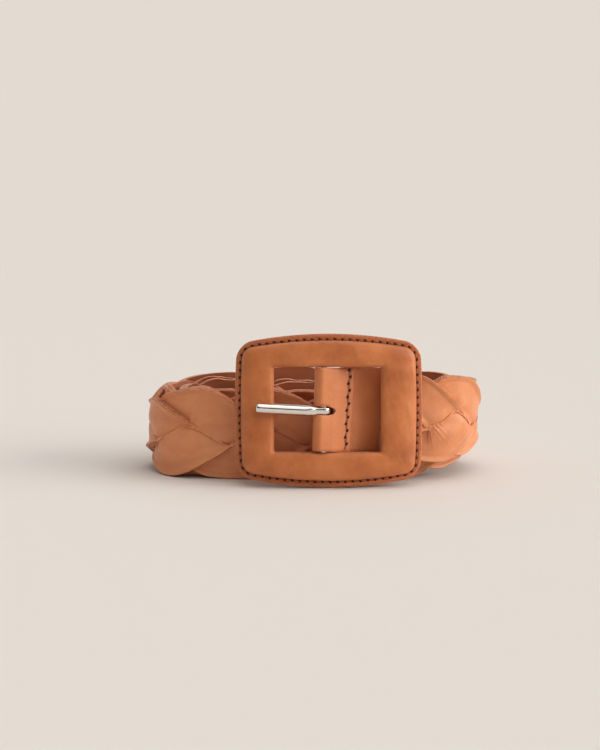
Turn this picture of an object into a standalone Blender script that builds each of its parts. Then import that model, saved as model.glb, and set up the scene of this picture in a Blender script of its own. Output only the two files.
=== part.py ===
"""A plaited leather belt rolled into a flat coil, with its padded, leather-covered buckle standing at the front.

Lengths are in millimetres until the objects are made. X runs right, -Y to the front, +Z up. The belt is laid out
flat (u along it from the centre bar, v across it, w outward through its thickness), then wound onto its path.
"""

import math

import bmesh
import bpy
import numpy as np

MM = 0.001

# Path of the coil seen from above: a curve at a shrinking distance from a long, thin core ellipse.
CORE_LONG = 47.5
CORE_SHORT = 3.0
FIRST_REACH = 26.0
WINDING_STEP = 6.4
TURNS = 3.5
BAR_X = 5.8
BAR_PUSH = 9.6
BAR_PUSH_LENGTH = 46.0
HALF_WIDTH = 19.0
RISE_LENGTH = 150.0
LEAN = math.radians(7.0)
LEAN_LENGTH = 62.0

# The plait, as a lattice of two crossing families of bands.
CELL = 24.0
BAND = 10.5
SLOPE = 0.87
CROSS = 12.0
TURN = 18.0
STRAND_THICK = 2.0
LAYER = 2.48
TILT = LAYER / 8
TURN_MIDDLE = 13.2
FLAT_END = 0.24
PLAIT_START = 42.4
PLAIT_CELLS = 25
LOOSEN_FROM = 24.3
LOOSEN_TO = 100.3
LOOSEN_BY = 0.417
SIDE_V = (11.9, 0.0, -11.9)
SIDE_HALF = 5.4
SIDE_THICK = 1.3
SIDE_REACH = 9.2
END_REACH = 16.0
FLEX_U = 81.6
FLEX_GAP = 0.3
FLEX_W = 3.0
FIRST_CUT_AFTER = 120.0
LAST_RUN = 60.0

# Strap end, folded round the centre bar and slotted for the prong.
STRAP_HALF = 17.5
STRAP_THICK = 1.6
SLOT_HALF = 2.75
FOLD_SHIFT = -1.2
FOLD_RADIUS = 2.52
STRAP_LINE = (
    (33.0, -1.85), (29.5, -1.85), (26.0, -1.85), (20.0, -1.45), (14.0, -0.95), (9.0, -0.95), (6.5, -1.6),
)
SLOT_END = (4.4, 2.3)
FOLD_START = (2.9, 2.52)
FRONT_LEG = ((6.5, 1.6), (9.0, 0.95), (12.0, 0.95))
CHAPE_STITCH = (10.4, 2.36)
FACING_LINE = (26.8, 29.9, 33.0)
ANCHOR_STITCH = (29.5, 2.72)
PLY_THICK = 1.1
PLY_W = 1.55
THREAD_HALF = 0.35

# Leather tab at the tip: distance past the end of the plait, half width and middle height of each row.
TAB_ROWS = (
    (13.8, 17.6, 1.55),
    (18.5, 17.6, 1.55),
    (23.6, 17.6, 1.55),
    (28.0, 17.6, 0.7),
    (33.0, 17.4, 0.7),
    (38.0, 15.6, 0.7),
    (42.0, 11.4, 0.7),
    (44.5, 5.0, 0.7),
)
TAB_STITCH_INSET = 2.6

# Buckle, about the centre bar: x right, z up along the bar, depth forward from the back of the frame.
FRAME_MIDDLE = 2.1
FRAME_HALF_X = 38.0
FRAME_HALF_Z = 28.2
BULGE_X = 1.8
BULGE_Z = 4.4
CORNER = 6.6
OPEN_MIDDLE = 1.6
OPEN_HALF_X = 22.7
OPEN_HALF_Z = 18.5
OPEN_CORNER = 1.5
BOW_RADIUS = 220.0
FLANGE = 2.7
CORNER_STEPS = 4
LONG_STEPS = 6
SHORT_STEPS = 4
BAR_DEPTH = 3.0
BAR_RADIUS = 1.3
BAR_HALF = 23.5
NOTCH_RADIUS = 1.6
NOTCH_HALF = 24.0
STITCH_INSET = 1.9
STITCH_DEPTH = 3.3

# Profiles round the frame: distance in from the outer edge below zero, or share of the way to the opening.
FACE_PROFILE = (
    (-0.001, 2.7), (-FLANGE, 2.7), (0.07, 4.7), (0.22, 6.3), (0.5, 7.0), (0.8, 6.5), (0.94, 5.2), (1.0, 3.6),
    (1.0, 1.5), (0.915, 1.5), (0.915, 4.3), (0.78, 5.3), (0.5, 5.8), (0.24, 5.1), (0.12, 3.8), (0.09, 1.5),
    (-0.001, 1.5),
)
CORE_PROFILE = ((0.13, 1.5), (0.16, 3.5), (0.27, 4.75), (0.5, 5.4), (0.76, 4.9), (0.885, 4.0), (0.885, 1.5))
BACK_PROFILE = ((-0.001, 0.0), (-0.001, 1.2), (1.0, 1.2), (1.0, 0.0))

# Prong, about the centre bar: x, y, z and half sizes of the sections from the tip to the neck, then its eye.
PRONG_SECTIONS = (
    (-28.6, -4.65, 1.45, 1.7, 1.7),
    (-28.2, -4.62, 1.43, 2.1, 2.1),
    (-10.0, -3.1, 0.4, 2.1, 2.1),
    (-6.6, -2.85, 0.15, 1.5, 1.9),
    (-3.6, -2.6, 0.0, 0.85, 1.8),
)
EYE_RADIUS = 2.45
EYE_HALF_THICK = 0.8
EYE_HALF_HEIGHT = 1.8
EYE_TRAVEL = 245.0
EYE_STEPS = 9
PRONG_SIDES = 8

LEATHER = (0.60, 0.27, 0.12, 1.0)
LINING = (0.50, 0.24, 0.12, 1.0)
THREAD = (0.24, 0.07, 0.03, 1.0)
BOARD = (0.30, 0.22, 0.15, 1.0)
NICKEL = (0.80, 0.79, 0.77, 1.0)


# ---------------------------------------------------------------------------------------------------- path


def core_offset(phi, reach):
    """Point at the given reach outside the thin core ellipse, in the direction phi."""
    c, s = math.cos(phi), math.sin(phi)
    root = math.sqrt((CORE_LONG * c) ** 2 + (CORE_SHORT * s) ** 2)
    return CORE_LONG**2 * c / root + reach * c, CORE_SHORT**2 * s / root + reach * s


def start_angle():
    """Direction in which the path lies at the centre bar, at the front of the coil."""
    low, high = math.radians(-90), math.radians(-60)
    for _ in range(60):
        middle = (low + high) / 2
        if core_offset(middle, FIRST_REACH)[0] < BAR_X:
            low = middle
        else:
            high = middle
    return low


def height_at(u, bar_z):
    """Height of the belt's middle, from the bar down to the floor along the first winding."""
    x = min(max(u / RISE_LENGTH, 0.0), 1.0)
    return HALF_WIDTH + (bar_z - HALF_WIDTH) * (1 - 1.12 * x - 0.76 * x**2 + 0.88 * x**3)


def line_lengths(points):
    """Length along a line of points, at each point."""
    return np.concatenate([[0.0], np.cumsum(np.linalg.norm(np.diff(points, axis=0), axis=1))])


def build_path(bar_z):
    """Evenly spaced lengths, points and tangents along the coil."""
    first = start_angle()
    turned = np.linspace(0.0, 2 * math.pi * TURNS, 24000)
    reach = FIRST_REACH - WINDING_STEP * turned / (2 * math.pi)
    plan = np.array([core_offset(first + t, r) for t, r in zip(turned, reach)])
    length = line_lengths(plan)
    heading = np.gradient(plan, length, axis=0)
    push = BAR_PUSH * np.clip(1 - length / BAR_PUSH_LENGTH, 0.0, 1.0) ** 2
    plan = plan + np.column_stack([heading[:, 1], -heading[:, 0]]) * push[:, None]
    points = np.column_stack([plan, [height_at(u, bar_z) for u in length]])
    length = line_lengths(points)
    even = np.arange(0.0, length[-1], 0.25)
    points = np.column_stack([np.interp(even, length, points[:, i]) for i in range(3)])
    return even, points, np.gradient(points, even, axis=0)


def wind(path, flat):
    """Carry flat (u, v, w) points onto the coil."""
    even, points, tangents = path
    flat = np.asarray(flat, float)
    inside = np.clip(flat[:, 0], even[0], even[-1])
    at = np.column_stack([np.interp(inside, even, points[:, i]) for i in range(3)])
    along = np.column_stack([np.interp(inside, even, tangents[:, i]) for i in range(3)])
    along /= np.linalg.norm(along, axis=1)[:, None]
    out = np.column_stack([along[:, 1], -along[:, 0], np.zeros(len(flat))])
    out /= np.linalg.norm(out, axis=1)[:, None]
    up = np.cross(out, along)
    fade = np.clip(1 - inside / LEAN_LENGTH, 0.0, 1.0)
    lean = (LEAN * fade**2 * (3 - 2 * fade))[:, None]
    across = up * np.cos(lean) - out * np.sin(lean)
    outward = out * np.cos(lean) + up * np.sin(lean)
    return at + along * (flat[:, 0:1] - inside[:, None]) + across * flat[:, 1:2] + outward * flat[:, 2:3]


# ------------------------------------------------------------------------------------------------- solids


def triangles(faces):
    """Faces as triangles, each fanned from its first corner."""
    return [(f[0], f[i], f[i + 1]) for f in faces for i in range(1, len(f) - 1)]


def outward_faces(verts, faces):
    """The faces, turned round together if they enclose a negative volume."""
    p = np.asarray(verts, float)
    p = p - p.mean(axis=0)
    t = np.asarray(faces)
    volume = np.einsum("ij,ij->i", p[t[:, 0]], np.cross(p[t[:, 1]], p[t[:, 2]])).sum()
    return faces if volume > 0 else [f[::-1] for f in faces]


def grid_solid(top, bottom, present=None):
    """Closed solid between two matching grids of points; present says which of the cells exist."""
    rows, cols = len(top), len(top[0])
    verts, index, faces = [], {}, []

    def vertex(side, r, c):
        point = tuple((top, bottom)[side][r][c])
        key = (side,) + tuple(round(x, 6) for x in point)
        if key not in index:
            index[key] = len(verts)
            verts.append(point)
        return index[key]

    def filled(r, c):
        return 0 <= r < rows - 1 and 0 <= c < cols - 1 and (present is None or present[r][c])

    def add(corners):
        corners = list(dict.fromkeys(corners))
        if len(corners) == 4:
            a, b, c, d = (verts[i][0] for i in corners)
            faces.extend(triangles([corners if abs(a - c) < abs(b - d) else corners[1:] + corners[:1]]))
        elif len(corners) == 3:
            faces.append(tuple(corners))

    for r in range(rows - 1):
        for c in range(cols - 1):
            if not filled(r, c):
                continue
            ring = [(r, c), (r, c + 1), (r + 1, c + 1), (r + 1, c)]
            add([vertex(0, *p) for p in ring[::-1]])
            add([vertex(1, *p) for p in ring])
            for k, beyond in enumerate([(r - 1, c), (r, c + 1), (r + 1, c), (r, c - 1)]):
                if not filled(*beyond):
                    a, b = ring[k], ring[(k + 1) % 4]
                    wall = [vertex(0, *a), vertex(0, *b), vertex(1, *b), vertex(1, *a)]
                    if wall[0] != wall[1]:
                        faces.extend(triangles([wall]))
    return verts, faces


def ring_solid(loops):
    """Closed solid of ring shape, from its cross-sections in order."""
    count, size = len(loops), len(loops[0])
    verts = [tuple(p) for loop in loops for p in loop]
    faces = []
    for i in range(count):
        a, b = i * size, (i + 1) % count * size
        for j in range(size):
            k = (j + 1) % size
            faces.append((a + j, a + k, b + k, b + j))
    return verts, triangles(faces)


def line_solid(loops):
    """Closed solid along an open line of cross-sections, with flat ends."""
    count, size = len(loops), len(loops[0])
    verts = [tuple(p) for loop in loops for p in loop]
    faces = []
    for i in range(count - 1):
        a, b = i * size, (i + 1) * size
        for j in range(size):
            k = (j + 1) % size
            faces.append((a + j, a + k, b + k, b + j))
    faces.append(tuple(range(size - 1, -1, -1)))
    faces.append(tuple((count - 1) * size + j for j in range(size)))
    return verts, triangles(faces)


def cut_solid(solid, u, keep_low):
    """The part of a flat solid on one side of a plane across the belt."""
    mesh = bmesh.new()
    corners = [mesh.verts.new(p) for p in solid[0]]
    for f in solid[1]:
        mesh.faces.new([corners[i] for i in f])
    everything = mesh.verts[:] + mesh.edges[:] + mesh.faces[:]
    bmesh.ops.bisect_plane(
        mesh, geom=everything, dist=1e-7, plane_co=(u, 0, 0), plane_no=(1, 0, 0),
        clear_outer=keep_low, clear_inner=not keep_low,
    )
    edges = [e for e in mesh.edges if e.is_boundary]
    caps = bmesh.ops.holes_fill(mesh, edges=edges, sides=0)["faces"]
    bmesh.ops.triangulate(mesh, faces=caps)
    bmesh.ops.triangulate(mesh, faces=[f for f in mesh.faces if len(f.verts) > 3])
    mesh.verts.index_update()
    verts = [tuple(v.co) for v in mesh.verts]
    faces = [tuple(v.index for v in f.verts) for f in mesh.faces]
    mesh.free()
    return verts, faces


# -------------------------------------------------------------------------------------------------- plait


def band_row(middle_u, sign, p, over):
    """Three points across a strand on one cross-line of the lattice, upper edge first."""
    height = LAYER / 2 if over else -LAYER / 2
    crossing = -CROSS if over else CROSS
    row = []
    for c in (-1, 0, 1):
        q = c * BAND * sign
        w = height - TILT * (p - crossing + q) / BAND
        row.append((middle_u + (p + q) / 2, sign * SLOPE * (p - q) / 2, w, STRAND_THICK))
    return row


def turn_rows(middle_u, sign):
    """The rows in which a strand turns back at the belt's edge, round a shared inner corner, with a flat end."""
    rows = []
    for side in (-1, -FLAT_END, FLAT_END, 1):
        inner = (middle_u, sign * SLOPE * (TURN - BAND), 0.0, STRAND_THICK)
        middle_v = SLOPE * (TURN - BAND / 2) if abs(side) == 1 else TURN_MIDDLE
        outer_v = SLOPE * TURN if abs(side) == 1 else HALF_WIDTH
        middle = (middle_u + side * BAND / 2, sign * middle_v, side * LAYER / 4, STRAND_THICK)
        outer = (middle_u + side * BAND, sign * outer_v, side * LAYER / 2, STRAND_THICK)
        rows.append([outer, middle, inner] if sign > 0 else [inner, middle, outer])
    return rows


def side_row(u, v):
    """Three points across a thinned strand where the strands lie side by side."""
    return [(u, v + k * SIDE_HALF, 0.0, SIDE_THICK) for k in (1, 0, -1)]


def loosened(u):
    """Place along the belt of a point of the lattice: the plait is tight at the buckle and looser further on."""
    reach = min(max(u, LOOSEN_FROM), LOOSEN_TO) - LOOSEN_FROM
    extra = reach**2 / (2 * (LOOSEN_TO - LOOSEN_FROM)) + max(u - LOOSEN_TO, 0.0)
    return PLAIT_START + u + LOOSEN_BY * extra


def strand_rows(strand):
    """All the rows of one strand, with u in the units of the lattice."""
    end = PLAIT_CELLS * CELL
    rows = [side_row(-END_REACH, SIDE_V[strand]), side_row(-SIDE_REACH, SIDE_V[strand])]
    middle = (CROSS, 0.0, 2 * CROSS)[strand]
    sign = (-1, 1, 1)[strand]
    if strand == 2:
        rows += turn_rows(middle - TURN, -1)[2:]
    while middle <= end:
        for p in (-CROSS - BAND, -CROSS, BAND - CROSS, CROSS - BAND, CROSS, CROSS + BAND):
            over = p < 0
            if not (middle == 0 and over or middle == end and not over):
                rows.append(band_row(middle, sign, p, over))
        if middle + 2 * TURN <= end:
            rows += turn_rows(middle + TURN, sign)
        elif middle + TURN < end:
            rows += turn_rows(middle + TURN, sign)[:2]
        middle += 2 * TURN
        sign = -sign
    last = min(SIDE_V, key=lambda v: abs(v - rows[-1][1][1]))
    return rows + [side_row(end + SIDE_REACH, last), side_row(end + END_REACH, last)]


def flat_strand(strand):
    """One strand of the plait as a closed solid laid out flat."""
    top, bottom = [], []
    for row in strand_rows(strand):
        top.append([(loosened(u), v, w + t / 2) for u, v, w, t in row])
        bottom.append([(loosened(u), v, w - t / 2) for u, v, w, t in row])
    return grid_solid(top, bottom)


# -------------------------------------------------------------------------------------------- strap pieces


def leather_along(line, thick, columns, present=None):
    """Strip of leather whose middle follows a line of (u, w) points, with the given v columns."""
    line = np.asarray(line, float)
    heading = np.gradient(line, axis=0)
    heading /= np.linalg.norm(heading, axis=1)[:, None]
    side = np.column_stack([-heading[:, 1], heading[:, 0]]) * thick / 2
    top = [[(u, v, w) for v in columns] for u, w in line + side]
    bottom = [[(u, v, w) for v in columns] for u, w in line - side]
    return grid_solid(top, bottom, present)


def flat_chape():
    """The strap from the plait to the bar, round it and back to the front leg, with the slot for the prong."""
    slot_u, slot_w = SLOT_END
    fold_u, fold_w = FOLD_START
    line = list(STRAP_LINE) + [(slot_u, -slot_w), (fold_u, -fold_w)]
    for step in range(7):
        angle = math.radians(-90 - 30 * step)
        line.append((FOLD_SHIFT + FOLD_RADIUS * math.cos(angle), FOLD_RADIUS * math.sin(angle)))
    line += [(fold_u, fold_w), (slot_u, slot_w)] + list(FRONT_LEG)
    first, last = len(STRAP_LINE), len(line) - len(FRONT_LEG) - 1
    present = [[True, not first <= r < last, True] for r in range(len(line) - 1)]
    columns = (STRAP_HALF, SLOT_HALF, -SLOT_HALF, -STRAP_HALF)
    return leather_along(line, STRAP_THICK, columns, present)


def flat_facing():
    """The outer ply that covers the strand ends behind the buckle."""
    return leather_along([(u, PLY_W) for u in FACING_LINE], PLY_THICK, (STRAP_HALF, 0.0, -STRAP_HALF))


def flat_stitch_row(place, half):
    """A straight run of thread across the belt."""
    u, w = place
    h = THREAD_HALF
    corners = ((h, h), (-h, h), (-h, -h), (h, -h))
    return line_solid([[(u + a, v, w + b) for a, b in corners] for v in (-half, half)])


def flat_tab(side):
    """One ply of the tab at the tip; side is +1 for the outer one."""
    top, bottom = [], []
    for reach, half, w in TAB_ROWS:
        u = loosened(PLAIT_CELLS * CELL) + reach
        top.append([(u, k * half, side * w + PLY_THICK / 2) for k in (1, 0, -1)])
        bottom.append([(u, k * half, side * w - PLY_THICK / 2) for k in (1, 0, -1)])
    return grid_solid(top, bottom)


def flat_tab_stitch():
    """The thread that runs round the tab on its outer ply."""
    line = [(reach, half - TAB_STITCH_INSET, w) for reach, half, w in TAB_ROWS[:-1]]
    line[0] = (line[0][0] + TAB_STITCH_INSET, line[0][1], line[0][2])
    line[-1] = (line[-1][0] - 0.6, line[-1][1] - 1.0, line[-1][2])
    line = line + [(u, -v, w) for u, v, w in reversed(line)]
    points = np.array([(loosened(PLAIT_CELLS * CELL) + u, v, w) for u, v, w in line])
    heading = np.gradient(points[:, :2], axis=0)
    heading /= np.linalg.norm(heading, axis=1)[:, None]
    h = THREAD_HALF
    loops = []
    for (u, v, w), (du, dv) in zip(points, heading):
        base = w + PLY_THICK / 2 + 0.35 + h
        corners = ((h, h), (-h, h), (-h, -h), (h, -h))
        loops.append([(u - dv * a, v + du * a, base + b) for a, b in corners])
    return line_solid(loops)


# ------------------------------------------------------------------------------------------------- buckle


def rounded_outline(middle, half_x, half_z, radius):
    """Points of a rounded rectangle, the same number whatever its size, from the lower right corner round."""
    points = []
    sides = ((1, -1, SHORT_STEPS), (1, 1, LONG_STEPS), (-1, 1, SHORT_STEPS), (-1, -1, LONG_STEPS))
    corners = []
    for k, (sx, sz, _) in enumerate(sides):
        centre = (middle + sx * (half_x - radius), sz * (half_z - radius))
        arc = []
        for step in range(CORNER_STEPS + 1):
            angle = math.radians(-90 + 90 * k + 90 * step / CORNER_STEPS)
            arc.append((centre[0] + radius * math.cos(angle), centre[1] + radius * math.sin(angle)))
        corners.append(arc)
    for k, arc in enumerate(corners):
        points += arc
        start, end, steps = arc[-1], corners[(k + 1) % 4][0], sides[k][2]
        for step in range(1, steps):
            t = step / steps
            points.append((start[0] + (end[0] - start[0]) * t, start[1] + (end[1] - start[1]) * t))
    return np.array(points)


def frame_outline(inset):
    """Outline of the frame, a given distance in from its edge, with its bulging sides."""
    plain = rounded_outline(0.0, FRAME_HALF_X - inset, FRAME_HALF_Z - inset, max(CORNER - inset, 1.0))
    x, z = plain[:, 0] / FRAME_HALF_X, plain[:, 1] / FRAME_HALF_Z
    bulged_x = plain[:, 0] + BULGE_X * x * (1 - z**2)
    bulged_z = plain[:, 1] + BULGE_Z * z * (1 - x**2)
    return np.column_stack([FRAME_MIDDLE + bulged_x, bulged_z])


def frame_ring(place):
    """Outline at one place of a profile, in from the edge or on the way to the opening."""
    if place < 0:
        return frame_outline(-place)
    opening = rounded_outline(OPEN_MIDDLE, OPEN_HALF_X, OPEN_HALF_Z, OPEN_CORNER)
    return frame_outline(FLANGE) * (1 - place) + opening * place


def bowed(x, z, depth):
    """Point of the frame about the centre bar, on its bow."""
    y = BAR_DEPTH + (x - FRAME_MIDDLE) ** 2 / (2 * BOW_RADIUS) - depth
    return (x, y, z)


def frame_solid(profile):
    """Ring-shaped solid round the frame with the given profile."""
    rings = [(frame_ring(place), depth) for place, depth in profile]
    loops = []
    for i in range(len(rings[0][0])):
        loops.append([bowed(ring[i][0], ring[i][1], depth) for ring, depth in rings])
    return ring_solid(loops)


def frame_stitching():
    """The thread that runs round the flange."""
    h = THREAD_HALF
    outer, inner = frame_outline(STITCH_INSET - h), frame_outline(STITCH_INSET + h)
    loops = []
    for (ox, oz), (ix, iz) in zip(outer, inner):
        low, high = STITCH_DEPTH - h, STITCH_DEPTH + h
        loops.append([bowed(ox, oz, low), bowed(ox, oz, high), bowed(ix, iz, high), bowed(ix, iz, low)])
    return ring_solid(loops)


def round_bar():
    """The centre bar."""
    steps = 16
    circle = [(math.cos(2 * math.pi * i / steps), math.sin(2 * math.pi * i / steps)) for i in range(steps)]
    return line_solid([[(BAR_RADIUS * c, BAR_RADIUS * s, z) for c, s in circle] for z in (-BAR_HALF, BAR_HALF)])


def notch_cutter():
    """The space left round the centre bar in the frame, open towards the back."""
    outline = [(NOTCH_RADIUS, BAR_DEPTH + 1.0)]
    for step in range(9):
        angle = math.radians(22.5 * step)
        outline.append((NOTCH_RADIUS * math.cos(angle), -NOTCH_RADIUS * math.sin(angle)))
    outline.append((-NOTCH_RADIUS, BAR_DEPTH + 1.0))
    return line_solid([[(x, y, z) for x, y in outline] for z in (-NOTCH_HALF, NOTCH_HALF)])


def prong_solid():
    """The prong, from its tip to the neck and round the bar."""
    stations = [((x, y, z), a, b) for x, y, z, a, b in PRONG_SECTIONS]
    for step in range(EYE_STEPS):
        angle = math.radians(EYE_TRAVEL * step / (EYE_STEPS - 1))
        centre = (EYE_RADIUS * math.sin(angle), -EYE_RADIUS * math.cos(angle), 0.0)
        stations.append((centre, EYE_HALF_THICK, EYE_HALF_HEIGHT))
    points = np.array([s[0] for s in stations])
    heading = np.gradient(points, axis=0)
    loops = []
    for (centre, a, b), along in zip(stations, heading):
        along = along / np.linalg.norm(along)
        up = np.array([0.0, 0.0, 1.0])
        side = np.cross(up, along)
        side /= np.linalg.norm(side)
        up = np.cross(along, side)
        loop = []
        for k in range(PRONG_SIDES):
            angle = 2 * math.pi * (k + 0.5) / PRONG_SIDES
            loop.append(np.array(centre) + side * (a * math.cos(angle)) + up * (b * math.sin(angle)))
        loops.append(loop)
    return line_solid(loops)


def buckle_height():
    """Height of the centre bar at which the leaning frame just touches the floor."""
    back = [bowed(x, z, depth) for x, z in frame_outline(0.0) for depth in (0.0, 2.7)]
    return -min(math.cos(LEAN) * z - math.sin(LEAN) * y for x, y, z in back)


def stand(verts, bar):
    """Lean points about the centre bar and put them in place."""
    cos, sin = math.cos(LEAN), math.sin(LEAN)
    return [(bar[0] + x, bar[1] + cos * y + sin * z, bar[2] + cos * z - sin * y) for x, y, z in verts]


# ------------------------------------------------------------------------------------------------- objects


def clear_scene():
    """Remove whatever the scene starts with."""
    for obj in list(bpy.data.objects):
        bpy.data.objects.remove(obj, do_unlink=True)


def principled(name, colour, roughness, metallic=0.0):
    """A plain Principled material."""
    material = bpy.data.materials.new(name)
    material.use_nodes = True
    shader = material.node_tree.nodes["Principled BSDF"]
    shader.inputs["Base Color"].default_value = colour
    shader.inputs["Roughness"].default_value = roughness
    shader.inputs["Metallic"].default_value = metallic
    return material


def make_object(name, solid, origin, shift, material=None, smooth=False):
    """A mesh object in metres whose origin stands at the given point."""
    verts, faces = solid
    faces = outward_faces(verts, faces)
    local = (np.asarray(verts, float) - np.asarray(origin)) * MM
    mesh = bpy.data.meshes.new(name)
    mesh.from_pydata([tuple(p) for p in local], [], faces)
    mesh.validate()
    if material:
        mesh.materials.append(material)
    for polygon in mesh.polygons:
        polygon.use_smooth = smooth
    obj = bpy.data.objects.new(name, mesh)
    obj.location = (np.asarray(origin) + shift) * MM
    bpy.context.scene.collection.objects.link(obj)
    return obj


def carve(obj, cutter_solid, origin, shift):
    """Take a cutter's space out of an object for good."""
    cutter = make_object("cutter", cutter_solid, origin, shift)
    modifier = obj.modifiers.new("notch", "BOOLEAN")
    modifier.operation = "DIFFERENCE"
    modifier.solver = "EXACT"
    modifier.object = cutter
    bpy.context.view_layer.update()
    done = obj.evaluated_get(bpy.context.evaluated_depsgraph_get())
    mesh = bpy.data.meshes.new_from_object(done)
    obj.modifiers.clear()
    obj.data = mesh
    bpy.data.objects.remove(cutter, do_unlink=True)


def coil_ends(path):
    """Lengths along the belt at which the coil turns back at its left and right ends."""
    even, _, tangents = path
    turns = np.nonzero(np.diff(np.sign(tangents[:, 0])))[0]
    return [float(even[i]) for i in turns if even[i] > FIRST_CUT_AFTER]


def belt_pieces(path):
    """Every solid that is wound with the belt, by name, with the body that it moves with.

    Each strand is cut where the outer turn flexes, and then at every end of the coil, so that no solid
    bends round the open middle of the coil.
    """
    half_gap = FLEX_GAP / 2
    last_u = loosened(PLAIT_CELLS * CELL) + END_REACH
    cuts = [u for u in coil_ends(path) if u < last_u - LAST_RUN]
    pieces = {}
    for strand in range(3):
        name = f"plait_strand_{strand + 1}"
        flat = flat_strand(strand)
        pieces[f"{name}_lead"] = ("end", cut_solid(flat, FLEX_U - half_gap, True))
        rest = cut_solid(flat, FLEX_U + half_gap, False)
        for run, u in enumerate(cuts):
            pieces[f"{name}_coil_{run + 1}"] = ("coil", cut_solid(rest, u - half_gap, True))
            rest = cut_solid(rest, u + half_gap, False)
        pieces[f"{name}_coil_{len(cuts) + 1}"] = ("coil", rest)
    pieces["chape_strap"] = ("end", flat_chape())
    pieces["strap_facing"] = ("end", flat_facing())
    pieces["chape_stitching"] = ("end", flat_stitch_row(CHAPE_STITCH, STRAP_HALF - 2.2))
    pieces["anchor_stitching"] = ("end", flat_stitch_row(ANCHOR_STITCH, STRAP_HALF - 2.2))
    pieces["tip_tab_outer"] = ("coil", flat_tab(1))
    pieces["tip_tab_inner"] = ("coil", flat_tab(-1))
    pieces["tip_stitching"] = ("coil", flat_tab_stitch())
    return {name: (body, (wind(path, verts), faces)) for name, (body, (verts, faces)) in pieces.items()}


def buckle_pieces(bar):
    """Every solid of the buckle and its prong, by name."""
    pieces = {
        "buckle_core": frame_solid(CORE_PROFILE),
        "buckle_face_leather": frame_solid(FACE_PROFILE),
        "buckle_back_leather": frame_solid(BACK_PROFILE),
        "buckle_stitching": frame_stitching(),
        "centre_bar": round_bar(),
        "prong": prong_solid(),
    }
    return {name: ("buckle", (stand(verts, bar), faces)) for name, (verts, faces) in pieces.items()}


def look_of(name):
    """Material of a piece: colour, roughness and metallic."""
    if "stitching" in name:
        return THREAD, 0.7, 0.0
    if name in ("prong", "centre_bar"):
        return NICKEL, 0.2, 1.0
    if name == "buckle_core":
        return BOARD, 0.8, 0.0
    if name in ("tip_tab_inner", "buckle_back_leather"):
        return LINING, 0.7, 0.0
    return LEATHER, 0.5, 0.0


def main():
    clear_scene()
    path = build_path(buckle_height())
    bar = path[1][0]
    flex = wind(path, [(FLEX_U, 0.0, FLEX_W)])[0]
    pieces = belt_pieces(path)
    pieces.update(buckle_pieces(bar))
    every = np.concatenate([np.asarray(solid[0], float) for _, solid in pieces.values()])
    low, high = every.min(axis=0), every.max(axis=0)
    shift = np.array([-(low[0] + high[0]) / 2, -(low[1] + high[1]) / 2, -low[2]])
    middle = np.array([0.0, 0.0, 0.0]) - shift
    origins = {"coil": middle, "end": flex, "buckle": bar}
    for name, (body, solid) in pieces.items():
        colour, roughness, metallic = look_of(name)
        material = principled(name + "_material", colour, roughness, metallic)
        smooth = name in ("prong", "centre_bar")
        obj = make_object(name, solid, origins[body], shift, material, smooth)
        if name in ("buckle_core", "buckle_face_leather"):
            carve(obj, (stand(notch_cutter()[0], bar), notch_cutter()[1]), bar, shift)


main()
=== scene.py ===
"""Looks of a plaited leather belt wound into an oval coil, with its padded leather buckle and nickel prong.

Lengths are in millimetres until a mesh is made. The belt is shaped flat, with u along it from the centre bar,
v across it and w outward through its thickness, and is then wound onto the coil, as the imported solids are.
"""

import math

import bpy
import numpy as np
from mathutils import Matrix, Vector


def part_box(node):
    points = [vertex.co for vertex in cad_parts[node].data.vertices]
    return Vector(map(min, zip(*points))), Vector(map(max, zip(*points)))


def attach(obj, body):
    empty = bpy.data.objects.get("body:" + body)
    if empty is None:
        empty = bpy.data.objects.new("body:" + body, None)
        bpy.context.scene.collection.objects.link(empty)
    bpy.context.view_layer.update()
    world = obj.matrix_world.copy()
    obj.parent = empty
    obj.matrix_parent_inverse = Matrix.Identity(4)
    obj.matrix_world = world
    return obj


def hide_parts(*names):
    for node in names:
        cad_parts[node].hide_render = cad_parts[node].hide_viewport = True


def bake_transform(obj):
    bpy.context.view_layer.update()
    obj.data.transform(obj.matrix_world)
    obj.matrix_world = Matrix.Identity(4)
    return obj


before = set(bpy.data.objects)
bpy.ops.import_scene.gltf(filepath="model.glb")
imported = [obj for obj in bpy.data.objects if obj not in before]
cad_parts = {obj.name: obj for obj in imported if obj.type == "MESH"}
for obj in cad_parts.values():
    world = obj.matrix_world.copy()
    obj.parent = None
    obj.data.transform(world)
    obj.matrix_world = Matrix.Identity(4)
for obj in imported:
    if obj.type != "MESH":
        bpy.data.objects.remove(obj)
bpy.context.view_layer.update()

MM = 0.001
FLOOR_CLEARANCE = 0.03

# Path of the coil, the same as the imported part's.
CORE_LONG = 47.5
CORE_SHORT = 3.0
FIRST_REACH = 26.0
WINDING_STEP = 6.4
TURNS = 3.5
BAR_X = 5.8
BAR_PUSH = 9.6
BAR_PUSH_LENGTH = 46.0
HALF_WIDTH = 19.0
RISE_LENGTH = 150.0
LEAN = math.radians(7.0)
LEAN_LENGTH = 62.0

# The plait: bands that cross on a lattice, and turn back at the belt's edges every 36 units.
CELL = 24.0
HALF_BAND = 12.0
SLOPE = 0.87
PERIOD = 72.0
HALF_PERIOD = 36.0
TURN = 18.0
WIDEN = 1.03
EDGE_CAP = 19.0
PIT_CAP = 4.6
CAP_BLEND = 2.6
FAN = 6.0
STRAND_THICK = 2.75
STRAND_GAP = 0.1
PLAIT_START = 42.4
PLAIT_CELLS = 25
LOOSEN_FROM = 24.3
LOOSEN_TO = 100.3
LOOSEN_BY = 0.417
SIDE_V = (11.9, 0.0, -11.9)
SIDE_HALF = 5.4
SIDE_THICK = 1.3
START_REACH = 16.0
END_REACH = 16.0
FIRST_MIDDLE = (12.0, 0.0, 24.0)

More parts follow.
